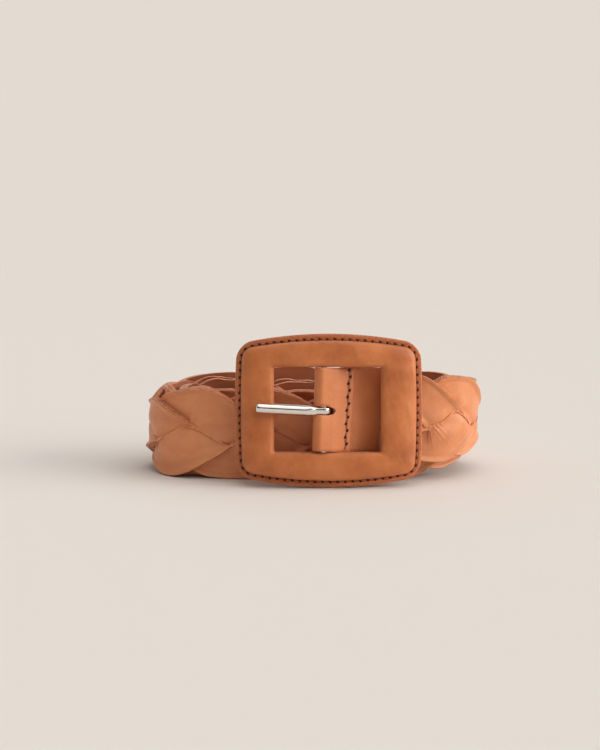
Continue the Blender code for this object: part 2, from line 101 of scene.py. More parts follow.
# Sampling of the plait's meshes.
SOLVE_ROWS = 144
SOLVE_COLUMNS = 17
SOLVE_STEPS = 420
SETTLE_STEPS = 10
SETTLE_SHARE = 0.2
EASE_ALONG = 0.24
EASE_ACROSS = 0.16
EASE_FLAT = 0.999
ACROSS = 19
FINE_STEP = 0.32
COARSE_STEP = 1.0
FINE_UNTIL = 215.0


# ---- path


def core_offset(phi, reach):
    """Point at the given reach outside the thin core ellipse, in the direction phi."""
    c, s = math.cos(phi), math.sin(phi)
    root = math.sqrt((CORE_LONG * c) ** 2 + (CORE_SHORT * s) ** 2)
    return CORE_LONG**2 * c / root + reach * c, CORE_SHORT**2 * s / root + reach * s


def start_angle():
    """Direction in which the path lies at the centre bar, at the front of the coil."""
    low, high = math.radians(-90), math.radians(-60)
    for _ in range(60):
        middle = (low + high) / 2
        if core_offset(middle, FIRST_REACH)[0] < BAR_X:
            low = middle
        else:
            high = middle
    return low


def height_at(u, bar_z):
    """Height of the belt's middle, from the bar down to the floor along the first winding."""
    x = min(max(u / RISE_LENGTH, 0.0), 1.0)
    return HALF_WIDTH + (bar_z - HALF_WIDTH) * (1 - 1.12 * x - 0.76 * x**2 + 0.88 * x**3)


def line_lengths(points):
    """Length along a line of points, at each point."""
    return np.concatenate([[0.0], np.cumsum(np.linalg.norm(np.diff(points, axis=0), axis=1))])


def build_path(bar_z):
    """Evenly spaced lengths, points and tangents along the coil."""
    first = start_angle()
    turned = np.linspace(0.0, 2 * math.pi * TURNS, 24000)
    reach = FIRST_REACH - WINDING_STEP * turned / (2 * math.pi)
    plan = np.array([core_offset(first + t, r) for t, r in zip(turned, reach)])
    length = line_lengths(plan)
    heading = np.gradient(plan, length, axis=0)
    push = BAR_PUSH * np.clip(1 - length / BAR_PUSH_LENGTH, 0.0, 1.0) ** 2
    plan = plan + np.column_stack([heading[:, 1], -heading[:, 0]]) * push[:, None]
    points = np.column_stack([plan, [height_at(u, bar_z) for u in length]])
    length = line_lengths(points)
    even = np.arange(0.0, length[-1], 0.25)
    points = np.column_stack([np.interp(even, length, points[:, i]) for i in range(3)])
    return even, points, np.gradient(points, even, axis=0)


def middle_of(node):
    """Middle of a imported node's box, in millimetres."""
    low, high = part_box(node)
    return np.array([(a + b) / 2 for a, b in zip(low, high)]) / MM


BAR = middle_of("centre_bar")
PATH = build_path(BAR[2])
SHIFT = BAR - PATH[1][0]


def wound(flat):
    """Carry flat (u, v, w) points, in an array of any shape, onto the coil."""
    even, points, tangents = PATH
    shape = np.shape(flat)
    flat = np.asarray(flat, float).reshape(-1, 3)
    inside = np.clip(flat[:, 0], even[0], even[-1])
    at = np.column_stack([np.interp(inside, even, points[:, i]) for i in range(3)])
    along = np.column_stack([np.interp(inside, even, tangents[:, i]) for i in range(3)])
    along /= np.linalg.norm(along, axis=1)[:, None]
    out = np.column_stack([along[:, 1], -along[:, 0], np.zeros(len(flat))])
    out /= np.linalg.norm(out, axis=1)[:, None]
    up = np.cross(out, along)
    fade = np.clip(1 - inside / LEAN_LENGTH, 0.0, 1.0)
    lean = (LEAN * fade**2 * (3 - 2 * fade))[:, None]
    across = up * np.cos(lean) - out * np.sin(lean)
    outward = out * np.cos(lean) + up * np.sin(lean)
    moved = at + along * (flat[:, 0:1] - inside[:, None])
    moved += across * flat[:, 1:2] + outward * flat[:, 2:3]
    return (moved + SHIFT).reshape(shape)


def loosened(u):
    """Place along the belt of a lattice point: the plait is tight at the buckle and looser further on."""
    reach = np.clip(u, LOOSEN_FROM, LOOSEN_TO) - LOOSEN_FROM
    extra = reach**2 / (2 * (LOOSEN_TO - LOOSEN_FROM)) + np.maximum(u - LOOSEN_TO, 0.0)
    return PLAIT_START + u + LOOSEN_BY * extra


# ---- small helpers


def smooth(x, low, high):
    """Smooth step from 0 at low to 1 at high."""
    t = np.clip((np.asarray(x, float) - low) / (high - low), 0.0, 1.0)
    return t * t * (3 - 2 * t)


def unit(vectors):
    """Vectors at length one."""
    return vectors / np.maximum(np.linalg.norm(vectors, axis=-1, keepdims=True), 1e-9)


def soft_min(a, b, blend):
    """The lesser of two values, with a rounded change-over."""
    return (a + b - np.sqrt((a - b) ** 2 + blend**2)) / 2


def ripple(points, size, seed):
    """Smooth pseudo-random value, about -1 to 1, from a sum of waves over an array of points."""
    random = np.random.default_rng(seed)
    total = np.zeros(points.shape[:-1])
    for _ in range(7):
        wave = random.normal(size=points.shape[-1])
        wave *= random.uniform(0.6, 1.6) / size / np.linalg.norm(wave)
        total += np.sin(points @ wave * 2 * math.pi + random.uniform(0, 2 * math.pi))
    return total / 2.6


def cubic_weights(t):
    """Catmull-Rom weights of four neighbours at the fractions t."""
    return (
        (-t + 2 * t**2 - t**3) / 2,
        (2 - 5 * t**2 + 3 * t**3) / 2,
        (t + 4 * t**2 - 3 * t**3) / 2,
        (t**3 - t**2) / 2,
    )


def sample(grid, row, column):
    """Smooth value of a grid, periodic by rows, at fractional places."""
    r0, c0 = np.floor(row).astype(int), np.floor(column).astype(int)
    total = 0.0
    for i, wi in enumerate(cubic_weights(row - r0)):
        for j, wj in enumerate(cubic_weights(column - c0)):
            r = (r0 + i - 1) % grid.shape[0]
            c = np.clip(c0 + j - 1, 0, grid.shape[1] - 1)
            total = total + wi * wj * grid[r, c]
    return total


# ---- how the belt lies


def coil_ends():
    """Lengths along the belt at which the coil turns back, at its right and left ends by turns."""
    even, _, tangents = PATH
    turns = np.nonzero(np.diff(np.sign(tangents[:, 0])))[0]
    return [float(even[i]) for i in turns]


# How much wider (or narrower) the belt is than its plan above and below its middle, about each end of the
# coil and about the middle of the first run behind it: half length of the stretch, share above, share below.
FIRST_END_SHAPE = (26.0, -0.10, -0.46)
FAR_END_SHAPE = (20.0, -0.40, -0.26)
BACK_RUN_SHAPE = (66.0, 0.23, 0.0)
INNER_RIGHT_SHAPE = (34.0, -0.04, -0.36)
INNER_LEFT_SHAPE = (18.0, -0.08, -0.16)
LOBE_UNEVEN = 0.09
LOBE_LENGTHS = (7.9, 12.7)
LOBES_FROM = 230.0
LOBES_FULLY = 270.0


def shaped(u, v):
    """The plan's v, drawn in or let out along the coil as the loosely wound belt lies."""
    ends = coil_ends()
    behind = (ends[0] + ends[1]) / 2
    places = [(ends[0], FIRST_END_SHAPE), (ends[1], FAR_END_SHAPE), (behind, BACK_RUN_SHAPE)]
    for k, end in enumerate(ends[2:]):
        places.append((end, INNER_RIGHT_SHAPE if k % 2 == 0 else INNER_LEFT_SHAPE))
    above, below = np.zeros(np.shape(u)), np.zeros(np.shape(u))
    for place, (reach, share_above, share_below) in places:
        near = 1 - smooth(np.abs(u - place), 0.0, reach)
        above += share_above * near
        below += share_below * near
    uneven = LOBE_UNEVEN * np.sin(u / LOBE_LENGTHS[0]) * np.sin(u / LOBE_LENGTHS[1] + 1.0)
    uneven = uneven * smooth(u, LOBES_FROM, LOBES_FULLY)
    return v * (1 + np.where(v > 0, above + uneven, below))


# ---- plan of a strand


def lobe(s, c):
    """Plan of a strand about the apex of a turn: s along its middle, c from the inner edge to the outer."""
    swing = s / FAN
    fan = -swing / (1 + np.abs(swing) ** 6) ** (1 / 6)
    x = s - FAN * WIDEN * c * fan
    straight = SLOPE * (TURN + HALF_BAND * WIDEN * c) - SLOPE * np.sqrt(x**2 + 0.36)
    cap = PIT_CAP + (EDGE_CAP - PIT_CAP) * (1 + c) / 2
    return x, soft_min(straight, cap, CAP_BLEND)


def strand_plan(sigma, c):
    """Lattice place (along, v) of a strand that rises through the middle at 0; c is +1 at its top edge."""
    turn = np.round((sigma - TURN) / HALF_PERIOD)
    apex = TURN + HALF_PERIOD * turn
    side = np.where(turn % 2 == 0, 1.0, -1.0)
    x, v = lobe(sigma - apex, side * c)
    return apex + x, side * v


def band_of(sigma):
    """Whether a strand rises at sigma, and where that band crosses the middle."""
    crossing = HALF_PERIOD * np.round(sigma / HALF_PERIOD)
    return np.round(sigma / HALF_PERIOD) % 2 == 0, crossing


def crossings(sigma, c):
    """For each point of the plan, its places on the other two strands, and which strand is on top."""
    fine_s = np.arange(0.0, PERIOD, 0.25)
    fine_c = np.linspace(-1, 1, 33)
    grid_s, grid_c = (a.ravel() for a in np.meshgrid(fine_s, fine_c, indexing="ij"))
    other_a, other_v = strand_plan(grid_s, grid_c)
    along, v = (a.ravel() for a in strand_plan(sigma, c))
    rising, crossing = band_of(sigma.ravel())
    found = []
    for shift in (CELL, 2 * CELL):
        nearest = np.empty(len(along), int)
        gap = np.empty(len(along))
        for k in range(0, len(along), 200):
            part = slice(k, k + 200)
            da = along[part, None] - (other_a + shift)[None, :]
            da = (da + PERIOD / 2) % PERIOD - PERIOD / 2
            distance = da**2 + (v[part, None] - other_v[None, :]) ** 2
            nearest[part] = distance.argmin(axis=1)
            gap[part] = np.sqrt(distance.min(axis=1))
        away = along - other_a[nearest] - shift
        wraps = np.round(away / PERIOD)
        other_rising, other_crossing = band_of(grid_s[nearest])
        other_crossing = other_crossing + shift + PERIOD * wraps
        over = np.where(rising == other_rising, crossing < other_crossing, crossing > other_crossing)
        found.append((gap < 0.4, grid_s[nearest], grid_c[nearest], np.where(over, 1.0, -1.0)))
    return found


def solve_heights():
    """Height w of one strand over a period: flat and smooth, but clear of the strands that it crosses."""
    rows = np.arange(SOLVE_ROWS) * PERIOD / SOLVE_ROWS
    columns = np.linspace(-1, 1, SOLVE_COLUMNS)
    sigma, c = np.meshgrid(rows, columns, indexing="ij")
    found = crossings(sigma, c)
    apart = STRAND_THICK + STRAND_GAP
    w = np.zeros(sigma.shape)
    half = SOLVE_ROWS // 2
    places = []
    for touching, other_s, other_c, over in found:
        row = other_s / PERIOD * SOLVE_ROWS
        column = (other_c + 1) / 2 * (SOLVE_COLUMNS - 1)
        r0 = np.floor(row).astype(int)
        c0 = np.clip(np.floor(column).astype(int), 0, SOLVE_COLUMNS - 2)
        places.append((touching, r0 % SOLVE_ROWS, (r0 + 1) % SOLVE_ROWS, row - r0, c0, column - c0, over))
    for _ in range(SOLVE_STEPS):
        along = np.roll(w, 1, axis=0) + np.roll(w, -1, axis=0) - 2 * w
        padded = np.pad(w, ((0, 0), (1, 1)), mode="reflect", reflect_type="odd")
        across = padded[:, 2:] + padded[:, :-2] - 2 * w
        w = (w + EASE_ALONG * along + EASE_ACROSS * across) * EASE_FLAT
        flat = w.ravel()
        push = np.zeros(flat.size)
        for touching, r0, r1, fr, c0, fc, over in places:
            other = (
                w[r0, c0] * (1 - fr) * (1 - fc) + w[r1, c0] * fr * (1 - fc)
                + w[r0, c0 + 1] * (1 - fr) * fc + w[r1, c0 + 1] * fr * fc
            )
            short = np.maximum(apart - over * (flat - other), 0.0) * touching
            push += 0.5 * over * short
        w = (flat + push).reshape(w.shape)
        mirrored = np.roll(w, half, axis=0)[:, ::-1]
        w = (w + mirrored) / 2
    for _ in range(SETTLE_STEPS):
        padded = np.pad(w, ((0, 0), (1, 1)), mode="reflect", reflect_type="odd")
        around = np.roll(w, 1, axis=0) + np.roll(w, -1, axis=0) + padded[:, 2:] + padded[:, :-2]
        w = w + SETTLE_SHARE * (around - 4 * w)
    return w


HEIGHTS = solve_heights()


# ---- mesh making


def make_piece(name, verts, faces, materials, face_material=None, rest=None):
    """A mesh object in metres from points in millimetres, with its resting points kept for the materials."""
    verts = np.asarray(verts, float).reshape(-1, 3)
    verts[:, 2] = np.maximum(verts[:, 2], FLOOR_CLEARANCE)
    mesh = bpy.data.meshes.new(name)
    mesh.from_pydata((verts * MM).tolist(), [], [tuple(int(i) for i in f) for f in faces])
    for material in materials:
        mesh.materials.append(material)
    if face_material is not None:
        mesh.polygons.foreach_set("material_index", np.asarray(face_material, np.int32))
    mesh.polygons.foreach_set("use_smooth", [True] * len(mesh.polygons))
    kept = mesh.attributes.new("rest", "FLOAT_VECTOR", "POINT")
    kept.data.foreach_set("vector", np.asarray(verts if rest is None else rest, np.float32).ravel())
    mesh.update()
    obj = bpy.data.objects.new(name, mesh)
    bpy.context.scene.collection.objects.link(obj)
    return obj


def tube_faces(count, size, closed=False):
    """Faces of a tube of cross-section loops, with end caps when it is open."""
    faces = []
    for i in range(count if closed else count - 1):
        a, b = i * size, (i + 1) % count * size
        for j in range(size):
            k = (j + 1) % size
            faces.append((a + j, a + k, b + k, b + j))
    if not closed:
        faces.append(tuple(range(size - 1, -1, -1)))
        faces.append(tuple((count - 1) * size + j for j in range(size)))
    return faces


def facing_out(verts, faces):
    """The faces, turned round together if they enclose a negative volume."""
    p = np.asarray(verts, float).reshape(-1, 3)
    p = p - p.mean(axis=0)
    corners = [(f[0], f[i], f[i + 1]) for f in faces for i in range(1, len(f) - 1)]
    t = np.array(corners)
    volume = np.einsum("ij,ij->i", p[t[:, 0]], np.cross(p[t[:, 1]], p[t[:, 2]])).sum()
    return faces if volume > 0 else [f[::-1] for f in faces]


# Cut edge of two plies: height as a share of half the thickness, and how far it stands out.
EDGE_PROFILE = (
    (1.0, 0.05), (0.88, 0.22), (0.5, 0.30), (0.2, 0.18), (0.0, -0.42), (-0.2, 0.18), (-0.5, 0.30),
    (-0.88, 0.22), (-1.0, 0.05),
)
GRAIN_PART = 0
EDGE_PART = 1
# Index of the inward faces' material, a darker leather that paints the shade inside the coil.
INNER_SHADE_PART = 2
OUTWARD_SHARE = 0.35


def slab(name, middle, outward, thick, materials, rest, edge=EDGE_PROFILE, wobble=None):
    """A leather strip round a grid of middle points, with a cut edge along both sides.

    The face that lies inward takes the third material, if one is given, and otherwise the first; for the
    plait that third material is a darker leather that paints the shade inside the coil.
    """
    rows, columns = middle.shape[:2]
    along = np.gradient(middle, axis=0)
    across = np.gradient(middle, axis=1)
    normal = unit(np.cross(across, along))
    normal *= np.sign((normal * outward).sum(axis=-1, keepdims=True) + 1e-9)
    normal = unit(normal + OUTWARD_SHARE * outward)
    half = np.asarray(thick)[..., None] / 2
    top = middle + normal * half
    bottom = middle - normal * half
    sides = []
    for j, beside in ((-1, -2), (0, 1)):
        out = unit(middle[:, j] - middle[:, beside])
        points = []
        for share, stand in edge if j == -1 else edge[::-1]:
            ragged = 0.0 if wobble is None else wobble[:, j, None] * (1 if stand > 0 else 0.3)
            points.append(middle[:, j] + normal[:, j] * half[:, j] * share + out * (stand + ragged))
        sides.append(np.stack(points, axis=1))
    ring = np.concatenate([top, sides[0], bottom[:, ::-1], sides[1]], axis=1)
    size = ring.shape[1]
    faces = tube_faces(rows, size)
    part = np.zeros(len(faces), int)
    j = np.arange((rows - 1) * size) % size
    on_edge = ((j >= columns - 1) & (j < columns + len(edge))) | (j >= 2 * columns + len(edge) - 1)
    part[: (rows - 1) * size] = np.where(on_edge, EDGE_PART, GRAIN_PART)
    # The inward face takes the third material: painted shade, darker leather standing for the shade inside
    # the coil.
    if len(materials) > INNER_SHADE_PART:
        behind = (j >= columns + len(edge)) & (j < 2 * columns + len(edge) - 1)
        part[: (rows - 1) * size][behind] = INNER_SHADE_PART
    part[-2:] = EDGE_PART
    verts = ring.reshape(-1, 3)
    flat_ring = np.concatenate([
        rest + np.array([0, 0, 1.0]),
        np.repeat(rest[:, -1:], len(edge), axis=1) + np.array([[0, 0.3, s] for s, _ in edge]),
        rest[:, ::-1] - np.array([0, 0, 1.0]),
        np.repeat(rest[:, :1], len(edge), axis=1) + np.array([[0, -0.3, s] for s, _ in edge[::-1]]),
    ], axis=1)
    return make_piece(name, verts, facing_out(verts, faces), materials, part, rest=flat_ring.reshape(-1, 3))


# ---- plait


WRINKLE = 0.30
WRINKLE_LENGTH = 1.6
GATHER_WIDTH = 0.42
GATHER_NEAR = 6.0
GATHER_FAR = 12.0
UNEVEN = 0.10
UNEVEN_LENGTH = 14.0
EDGE_LIFT = 0.6
LIFT_FROM = 0.72
EDGE_SWELL = 0.32
SWELL_FROM = 0.75
JOIN_OUTSIDE = 9.0
JOIN_INSIDE = 5.0
RAGGED = 0.05
RAGGED_LENGTH = 4.0
FRAYED = 0.22
FRAYED_LENGTH = 1.7
FRAYED_FULLY = 240.0
SPLIT_AFTER = 96.0
UNDER_FROM_MIDDLE = 6.0
BEND_BACK_U = 135.0
BEND_FRONT_U = 48.0


def strand_surface(strand, sigma):
    """Middle points, outward directions, thickness and flat places of a strand at lattice places."""
    c_row = np.linspace(-1, 1, ACROSS)
    c_row = np.sign(c_row) * (1 - (1 - np.abs(c_row)) ** 1.25)
    s, c = np.meshgrid(sigma, c_row, indexing="ij")
    middle = FIRST_MIDDLE[strand]
    rising = strand != 0
    offset = middle if rising else middle - HALF_PERIOD
    local = s - offset
    along, v = strand_plan(local, c)
    along = along + offset
    w = sample(HEIGHTS, local % PERIOD / PERIOD * SOLVE_ROWS, (c + 1) / 2 * (SOLVE_COLUMNS - 1))
    turn = np.round((local - TURN) / HALF_PERIOD)
    from_apex = local - TURN - HALF_PERIOD * turn
    outer = np.where(turn % 2 == 0, 1.0, -1.0) * c
    gathers = np.exp(-(1 + outer) / GATHER_WIDTH) * (1 - smooth(np.abs(from_apex), GATHER_NEAR, GATHER_FAR))
    gathers = gathers * (1 - smooth(s, FINE_UNTIL - 12, FINE_UNTIL))
    uneven = 0.6 + 0.4 * np.sin(s * 0.9 + strand)
    w = w + WRINKLE * gathers * uneven * np.cos(2 * math.pi * s / WRINKLE_LENGTH + 1.2 * c)
    w = w + UNEVEN * ripple(np.stack([s, 8.0 * c], axis=-1), UNEVEN_LENGTH, 40 + strand)
    w = w + EDGE_LIFT * smooth(np.abs(c), LIFT_FROM, 1.0)
    start = smooth(s, -JOIN_OUTSIDE, JOIN_INSIDE)
    end_lattice = PLAIT_CELLS * CELL
    end = 1 - smooth(s, end_lattice - JOIN_INSIDE, end_lattice + JOIN_OUTSIDE)
    laid = start * end
    v_end = min(SIDE_V, key=lambda x: abs(x - np.interp(end_lattice, sigma, v[:, ACROSS // 2])))
    side_v = np.where(s < end_lattice / 2, SIDE_V[strand], v_end) + SIDE_HALF * c
    along = laid * along + (1 - laid) * s
    v = laid * v + (1 - laid) * side_v
    w = laid * w
    plaited_thick = STRAND_THICK * (1 + EDGE_SWELL * smooth(np.abs(c), SWELL_FROM, 1.0))
    thick = SIDE_THICK + (plaited_thick - SIDE_THICK) * laid
    u = loosened(along)
    flat = np.stack([u, shaped(u, v), w], axis=-1)
    points = wound(flat)
    outward = unit(wound(flat + np.array([0, 0, 1.0])) - points)
    return points, outward, thick, np.stack([s * 1.2, 8.0 * c + 40 * strand, w], axis=-1)


def rows_between(low, high):
    """Lattice places between two ends, close together where the belt's windings show."""
    fine_to = min(max(low, FINE_UNTIL), high)
    rows = list(np.arange(low, fine_to, FINE_STEP)) + list(np.arange(fine_to, high, COARSE_STEP))
    return np.array(rows + [high])


def split_place(strand):
    """Lattice place behind the coil where a strand lies under another, so that its join is hidden."""
    offset = FIRST_MIDDLE[strand] - (HALF_PERIOD if strand == 0 else 0.0)
    under = offset + UNDER_FROM_MIDDLE
    while under < SPLIT_AFTER:
        under += HALF_PERIOD
    return under


def make_strands(materials):
    """The three strands, each as its outer turn and the rest, which is attached to the coil."""
    back = wound(np.array([[BEND_BACK_U, 0.0, 0.0]]))[0] * MM
    front = wound(np.array([[BEND_FRONT_U, 0.0, 0.0]]))[0] * MM
    for strand in range(3):
        split = split_place(strand)
        runs = {
            "outer_turn": rows_between(-START_REACH, split),
            "coil": rows_between(split, PLAIT_CELLS * CELL + END_REACH),
        }
        for run, sigma in runs.items():
            points, outward, thick, flat = strand_surface(strand, sigma)
            frayed = FRAYED * smooth(sigma, FINE_UNTIL, FRAYED_FULLY)[:, None]
            wobble = RAGGED * ripple(flat, RAGGED_LENGTH, 60 + strand)
            wobble = wobble + frayed * ripple(flat, FRAYED_LENGTH, 70 + strand)
            obj = slab(f"strand_{strand + 1}_{run}", points, outward, thick, materials, flat, wobble=wobble)
            if run == "coil":
                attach(obj, "coil")
                start = f"plait_strand_{strand + 1}_coil"
                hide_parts(*[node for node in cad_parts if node.startswith(start)])
            else:
                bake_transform(obj)
                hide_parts(f"plait_strand_{strand + 1}_lead")


# ---- buckle

FRAME_MIDDLE = 2.1
FRAME_HALF_X = 39.0
FRAME_HALF_Z = 28.2
BULGE_X = 0.9
BULGE_Z = 4.4
CORNER = 6.6
OPEN_MIDDLE = 1.6
OPEN_HALF_X = 22.7
OPEN_HALF_Z = 18.05
OPEN_RISE = 0.45
OPEN_CORNER = 0.9
BOW_RADIUS = 220.0
FLANGE = 2.7
BAR_DEPTH = 3.0
CORNER_STEPS = 14
LONG_STEPS = 56
SHORT_STEPS = 42
STITCH_INSET = 1.95
STITCH_PITCH = 3.2
HOLE_SLANT = 0.5
THREAD_SHARE = 0.62
THREAD_RISE = 0.12
PAD_STEPS = 84
PAD_WIDTH = 14.0
PAD_DENTS = ((0.16, 24.0, 5), (0.07, 8.0, 6), (0.03, 2.6, 7))
DENTS_FROM = 2.3
DENTS_FULLY = 4.0
RAW_WIDTH = 0.8
RAW_HEIGHT = 2.62
FACE_STITCH_HEIGHT = 2.3
BACK_STITCH_HEIGHT = -0.03

# Profile of the padded leather: distance in from the frame's edge where a side is of plain width, and height.
PAD_OUTER = (
    (0.0, 1.42), (0.0, 1.7), (0.03, 2.1), (0.2, 2.45), (0.6, 2.6), (1.1, 2.58), (1.5, 2.45), (1.8, 2.28),
    (2.1, 2.22), (2.4, 2.35), (2.6, 2.75), (2.72, 3.5), (2.8, 4.4), (2.95, 5.2), (3.3, 5.75), (3.9, 6.12),
    (5.2, 6.5), (7.0, 6.8), (9.0, 6.95), (11.0, 6.95), (13.0, 6.8), (14.6, 6.5), (15.7, 6.05), (16.35, 5.4),
    (16.65, 4.6), (16.7, 3.6), (16.7, 1.42),
)
PAD_INNER = (
    (15.5, 1.42), (15.5, 4.3), (13.6, 5.3), (9.7, 5.8), (6.1, 5.1), (4.4, 3.8), (3.96, 1.42),
)
BACK_PROFILE = (
    (0.0, 0.3), (0.02, 0.66), (0.06, 0.95), (0.25, 1.16), (0.6, 1.2), (16.7, 1.2), (16.7, 0.1), (16.4, 0.0),
    (0.6, 0.0), (0.2, 0.05),
)


def rounded_outline(middle, half_x, half_z, radius):
    """Points of a rounded rectangle from its lower right corner round, the same number whatever its size."""
    points, corners = [], []
    sides = ((1, -1, SHORT_STEPS), (1, 1, LONG_STEPS), (-1, 1, SHORT_STEPS), (-1, -1, LONG_STEPS))
    for k, (sx, sz, _) in enumerate(sides):
        centre = (middle + sx * (half_x - radius), sz * (half_z - radius))
        turned = np.radians(-90 + 90 * k + 90 * np.arange(CORNER_STEPS + 1) / CORNER_STEPS)
        corners.append([(centre[0] + radius * math.cos(a), centre[1] + radius * math.sin(a)) for a in turned])
    for k, arc in enumerate(corners):
        points += arc
        start, end, steps = arc[-1], corners[(k + 1) % 4][0], sides[k][2]
        for step in range(1, steps):
            t = step / steps
            points.append((start[0] + (end[0] - start[0]) * t, start[1] + (end[1] - start[1]) * t))
    return np.array(points)


def frame_outline(inset):
    """Outline of the frame, a given distance in from its edge, with its bulging sides."""
    plain = rounded_outline(0.0, FRAME_HALF_X - inset, FRAME_HALF_Z - inset, max(CORNER - inset, 1.0))
    x, z = plain[:, 0] / FRAME_HALF_X, plain[:, 1] / FRAME_HALF_Z
    bulged_x = plain[:, 0] + BULGE_X * x * (1 - z**2)
    bulged_z = plain[:, 1] + BULGE_Z * z * (1 - x**2)
    return np.column_stack([FRAME_MIDDLE + bulged_x, bulged_z])


def frame_ring(inward):
    """Outline at a distance in from the frame's edge; past the flange it is a blend towards the opening."""
    if inward <= FLANGE:
        return frame_outline(inward)
    opening = rounded_outline(OPEN_MIDDLE, OPEN_HALF_X, OPEN_HALF_Z, OPEN_CORNER) + np.array([0.0, OPEN_RISE])
    share = (inward - FLANGE) / PAD_WIDTH
    return frame_outline(FLANGE) * (1 - share) + opening * share


def bowed(x, z, depth):
    """Points of the frame about the centre bar, on its bow."""
    y = BAR_DEPTH + (x - FRAME_MIDDLE) ** 2 / (2 * BOW_RADIUS) - depth
    return np.stack(np.broadcast_arrays(x, y, z), axis=-1)


def standing(points):
    """Lean points about the centre bar and put them in place."""
    x, y, z = (points[..., i] for i in range(3))
    cos, sin = math.cos(LEAN), math.sin(LEAN)
    return np.stack([BAR[0] + x, BAR[1] + cos * y + sin * z, BAR[2] + cos * z - sin * y], axis=-1)


def smooth_line(points, count):
    """A smooth line of evenly spaced points through the given ones."""
    points = np.asarray(points, float)
    ends = np.concatenate([[2 * points[0] - points[1]], points, [2 * points[-1] - points[-2]]])
    dense = []
    for i in range(len(points) - 1):
        t = np.linspace(0, 1, 12, endpoint=False)[:, None]
        dense.append(sum(w * ends[i + k] for k, w in enumerate(cubic_weights(t))))
    dense = np.concatenate(dense + [points[-1:]])
    lengths = line_lengths(dense)
    even = np.linspace(0, lengths[-1], count)
    return np.column_stack([np.interp(even, lengths, dense[:, i]) for i in range(dense.shape[1])])


def frame_loops(profile):
    """Grid of points round the frame for a profile: first round, then across."""
    loops = []
    for place, depth in profile:
        ring = frame_ring(place)
        loops.append(bowed(ring[:, 0], ring[:, 1], depth))
    return np.stack(loops, axis=1)


def make_pad(leather_material, edge_material):
    """The padded leather face: flange, stitched groove, domed face and the walls of the opening."""
    outer = smooth_line(PAD_OUTER, PAD_STEPS)
    points = frame_loops(np.concatenate([outer, PAD_INNER]))
    face = points[:, :PAD_STEPS]
    dents = sum(depth * ripple(face, length, seed) for depth, length, seed in PAD_DENTS)
    points[:, :PAD_STEPS, 1] += dents * smooth(outer[:, 1], DENTS_FROM, DENTS_FULLY)
    count, size = points.shape[:2]
    verts = standing(points).reshape(-1, 3)
    raw = np.zeros(size, bool)
    raw[:PAD_STEPS] = (outer[:, 0] < RAW_WIDTH) & (outer[:, 1] < RAW_HEIGHT)
    part = np.tile(np.where(raw, EDGE_PART, GRAIN_PART), count)
    faces = facing_out(verts, tube_faces(count, size, closed=True))
    obj = make_piece("buckle_padded_face", verts, faces, [leather_material, edge_material], part)
    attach(obj, "buckle")
    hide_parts("buckle_face_leather")


def make_back(leather_material, edge_material):
    """The back leather of the buckle, with its raw edge."""
    points = frame_loops(BACK_PROFILE)
    count, size = points.shape[:2]
    verts = standing(points).reshape(-1, 3)
    part = np.tile([EDGE_PART] * 4 + [GRAIN_PART] * 5 + [EDGE_PART], count)
    faces = facing_out(verts, tube_faces(count, size, closed=True))
    obj = make_piece("buckle_back", verts, faces, [leather_material, edge_material], part)
    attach(obj, "buckle")
    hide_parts("buckle_back_leather")


def capsule(start, end, radius, rise, up, rings=5, sides=8):
    """Points and faces of a thread-like bead between two points, bowed up by rise."""
    start, end, up = (np.asarray(a, float) for a in (start, end, up))
    along = unit(end - start)
    side = unit(np.cross(along, up))
    loops = []
    for t in np.linspace(0.0, 1.0, 2 * rings - 1):
        swell = math.sqrt(max(1 - abs(2 * t - 1) ** 3, 0.02))
        centre = start + (end - start) * t + up * rise * (1 - (2 * t - 1) ** 2)
        angles = np.arange(sides) * 2 * math.pi / sides
        circle = np.outer(np.cos(angles), side) + np.outer(np.sin(angles), up)
        loops.append(centre + radius * swell * circle)
    return np.concatenate(loops), tube_faces(len(loops), sides)


def join_solids(solids):
    """Several separate closed bodies as one list of points and one of faces."""
    verts, faces, start = [], [], 0
    for points, own in solids:
        verts.append(points)
        faces += [tuple(i + start for i in f) for f in facing_out(points, own)]
        start += len(points)
    return np.concatenate(verts), faces


def stitched_line(points, ups, pitch, thread_radius, hole_radius, skew):
    """Threads along an open line of points, and dark capsules between them that paint the shade in the stitch
    holes; ups point out of the leather.
    """
    lengths = line_lengths(points)
    count = max(2, round(lengths[-1] / pitch))
    pitch = lengths[-1] / count
    threads, hole_shades = [], []

    def at(length):
        place = np.array([np.interp(length, lengths, points[:, i]) for i in range(3)])
        return place, unit(np.array([np.interp(length, lengths, ups[:, i]) for i in range(3)]))

    for k in range(count):
        middle = (k + 0.5) * pitch
        first, up = at(middle - pitch * THREAD_SHARE / 2)
        last, _ = at(middle + pitch * THREAD_SHARE / 2)
        sideways = unit(np.cross(last - first, up)) * skew
        threads.append(capsule(first - sideways, last + sideways, thread_radius, THREAD_RISE, up))
        hole, up = at(k * pitch)
        along = unit(last - first)
        aside = unit(np.cross(along, up))
        reach = (along + HOLE_SLANT * aside) * hole_radius * 1.2
        hole = hole + aside * skew * (-1) ** k
        # Each dark capsule is painted shade standing for the inside of a stitch hole.
        hole_shades.append(capsule(hole - reach, hole + reach, hole_radius, 0.0, up, rings=3))
    return join_solids(threads), join_solids(hole_shades)


def make_stitching(name, points, ups, pitch, body, node, materials, radius=0.36, hole=0.56, skew=0.0):
    """One row of stitches: a piece of threads, which may stand for a node, and a piece of dark capsules that
    paint the shade in the stitch holes.
    """
    threads, hole_shades = stitched_line(points, ups, pitch, radius, hole, skew)
    thread_piece = make_piece(name, *threads, [materials[0]])
    hole_shade_piece = make_piece(name + "_hole_shade", *hole_shades, [materials[1]])
    for obj in (thread_piece, hole_shade_piece):
        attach(obj, body)
    if node:
        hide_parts(node)


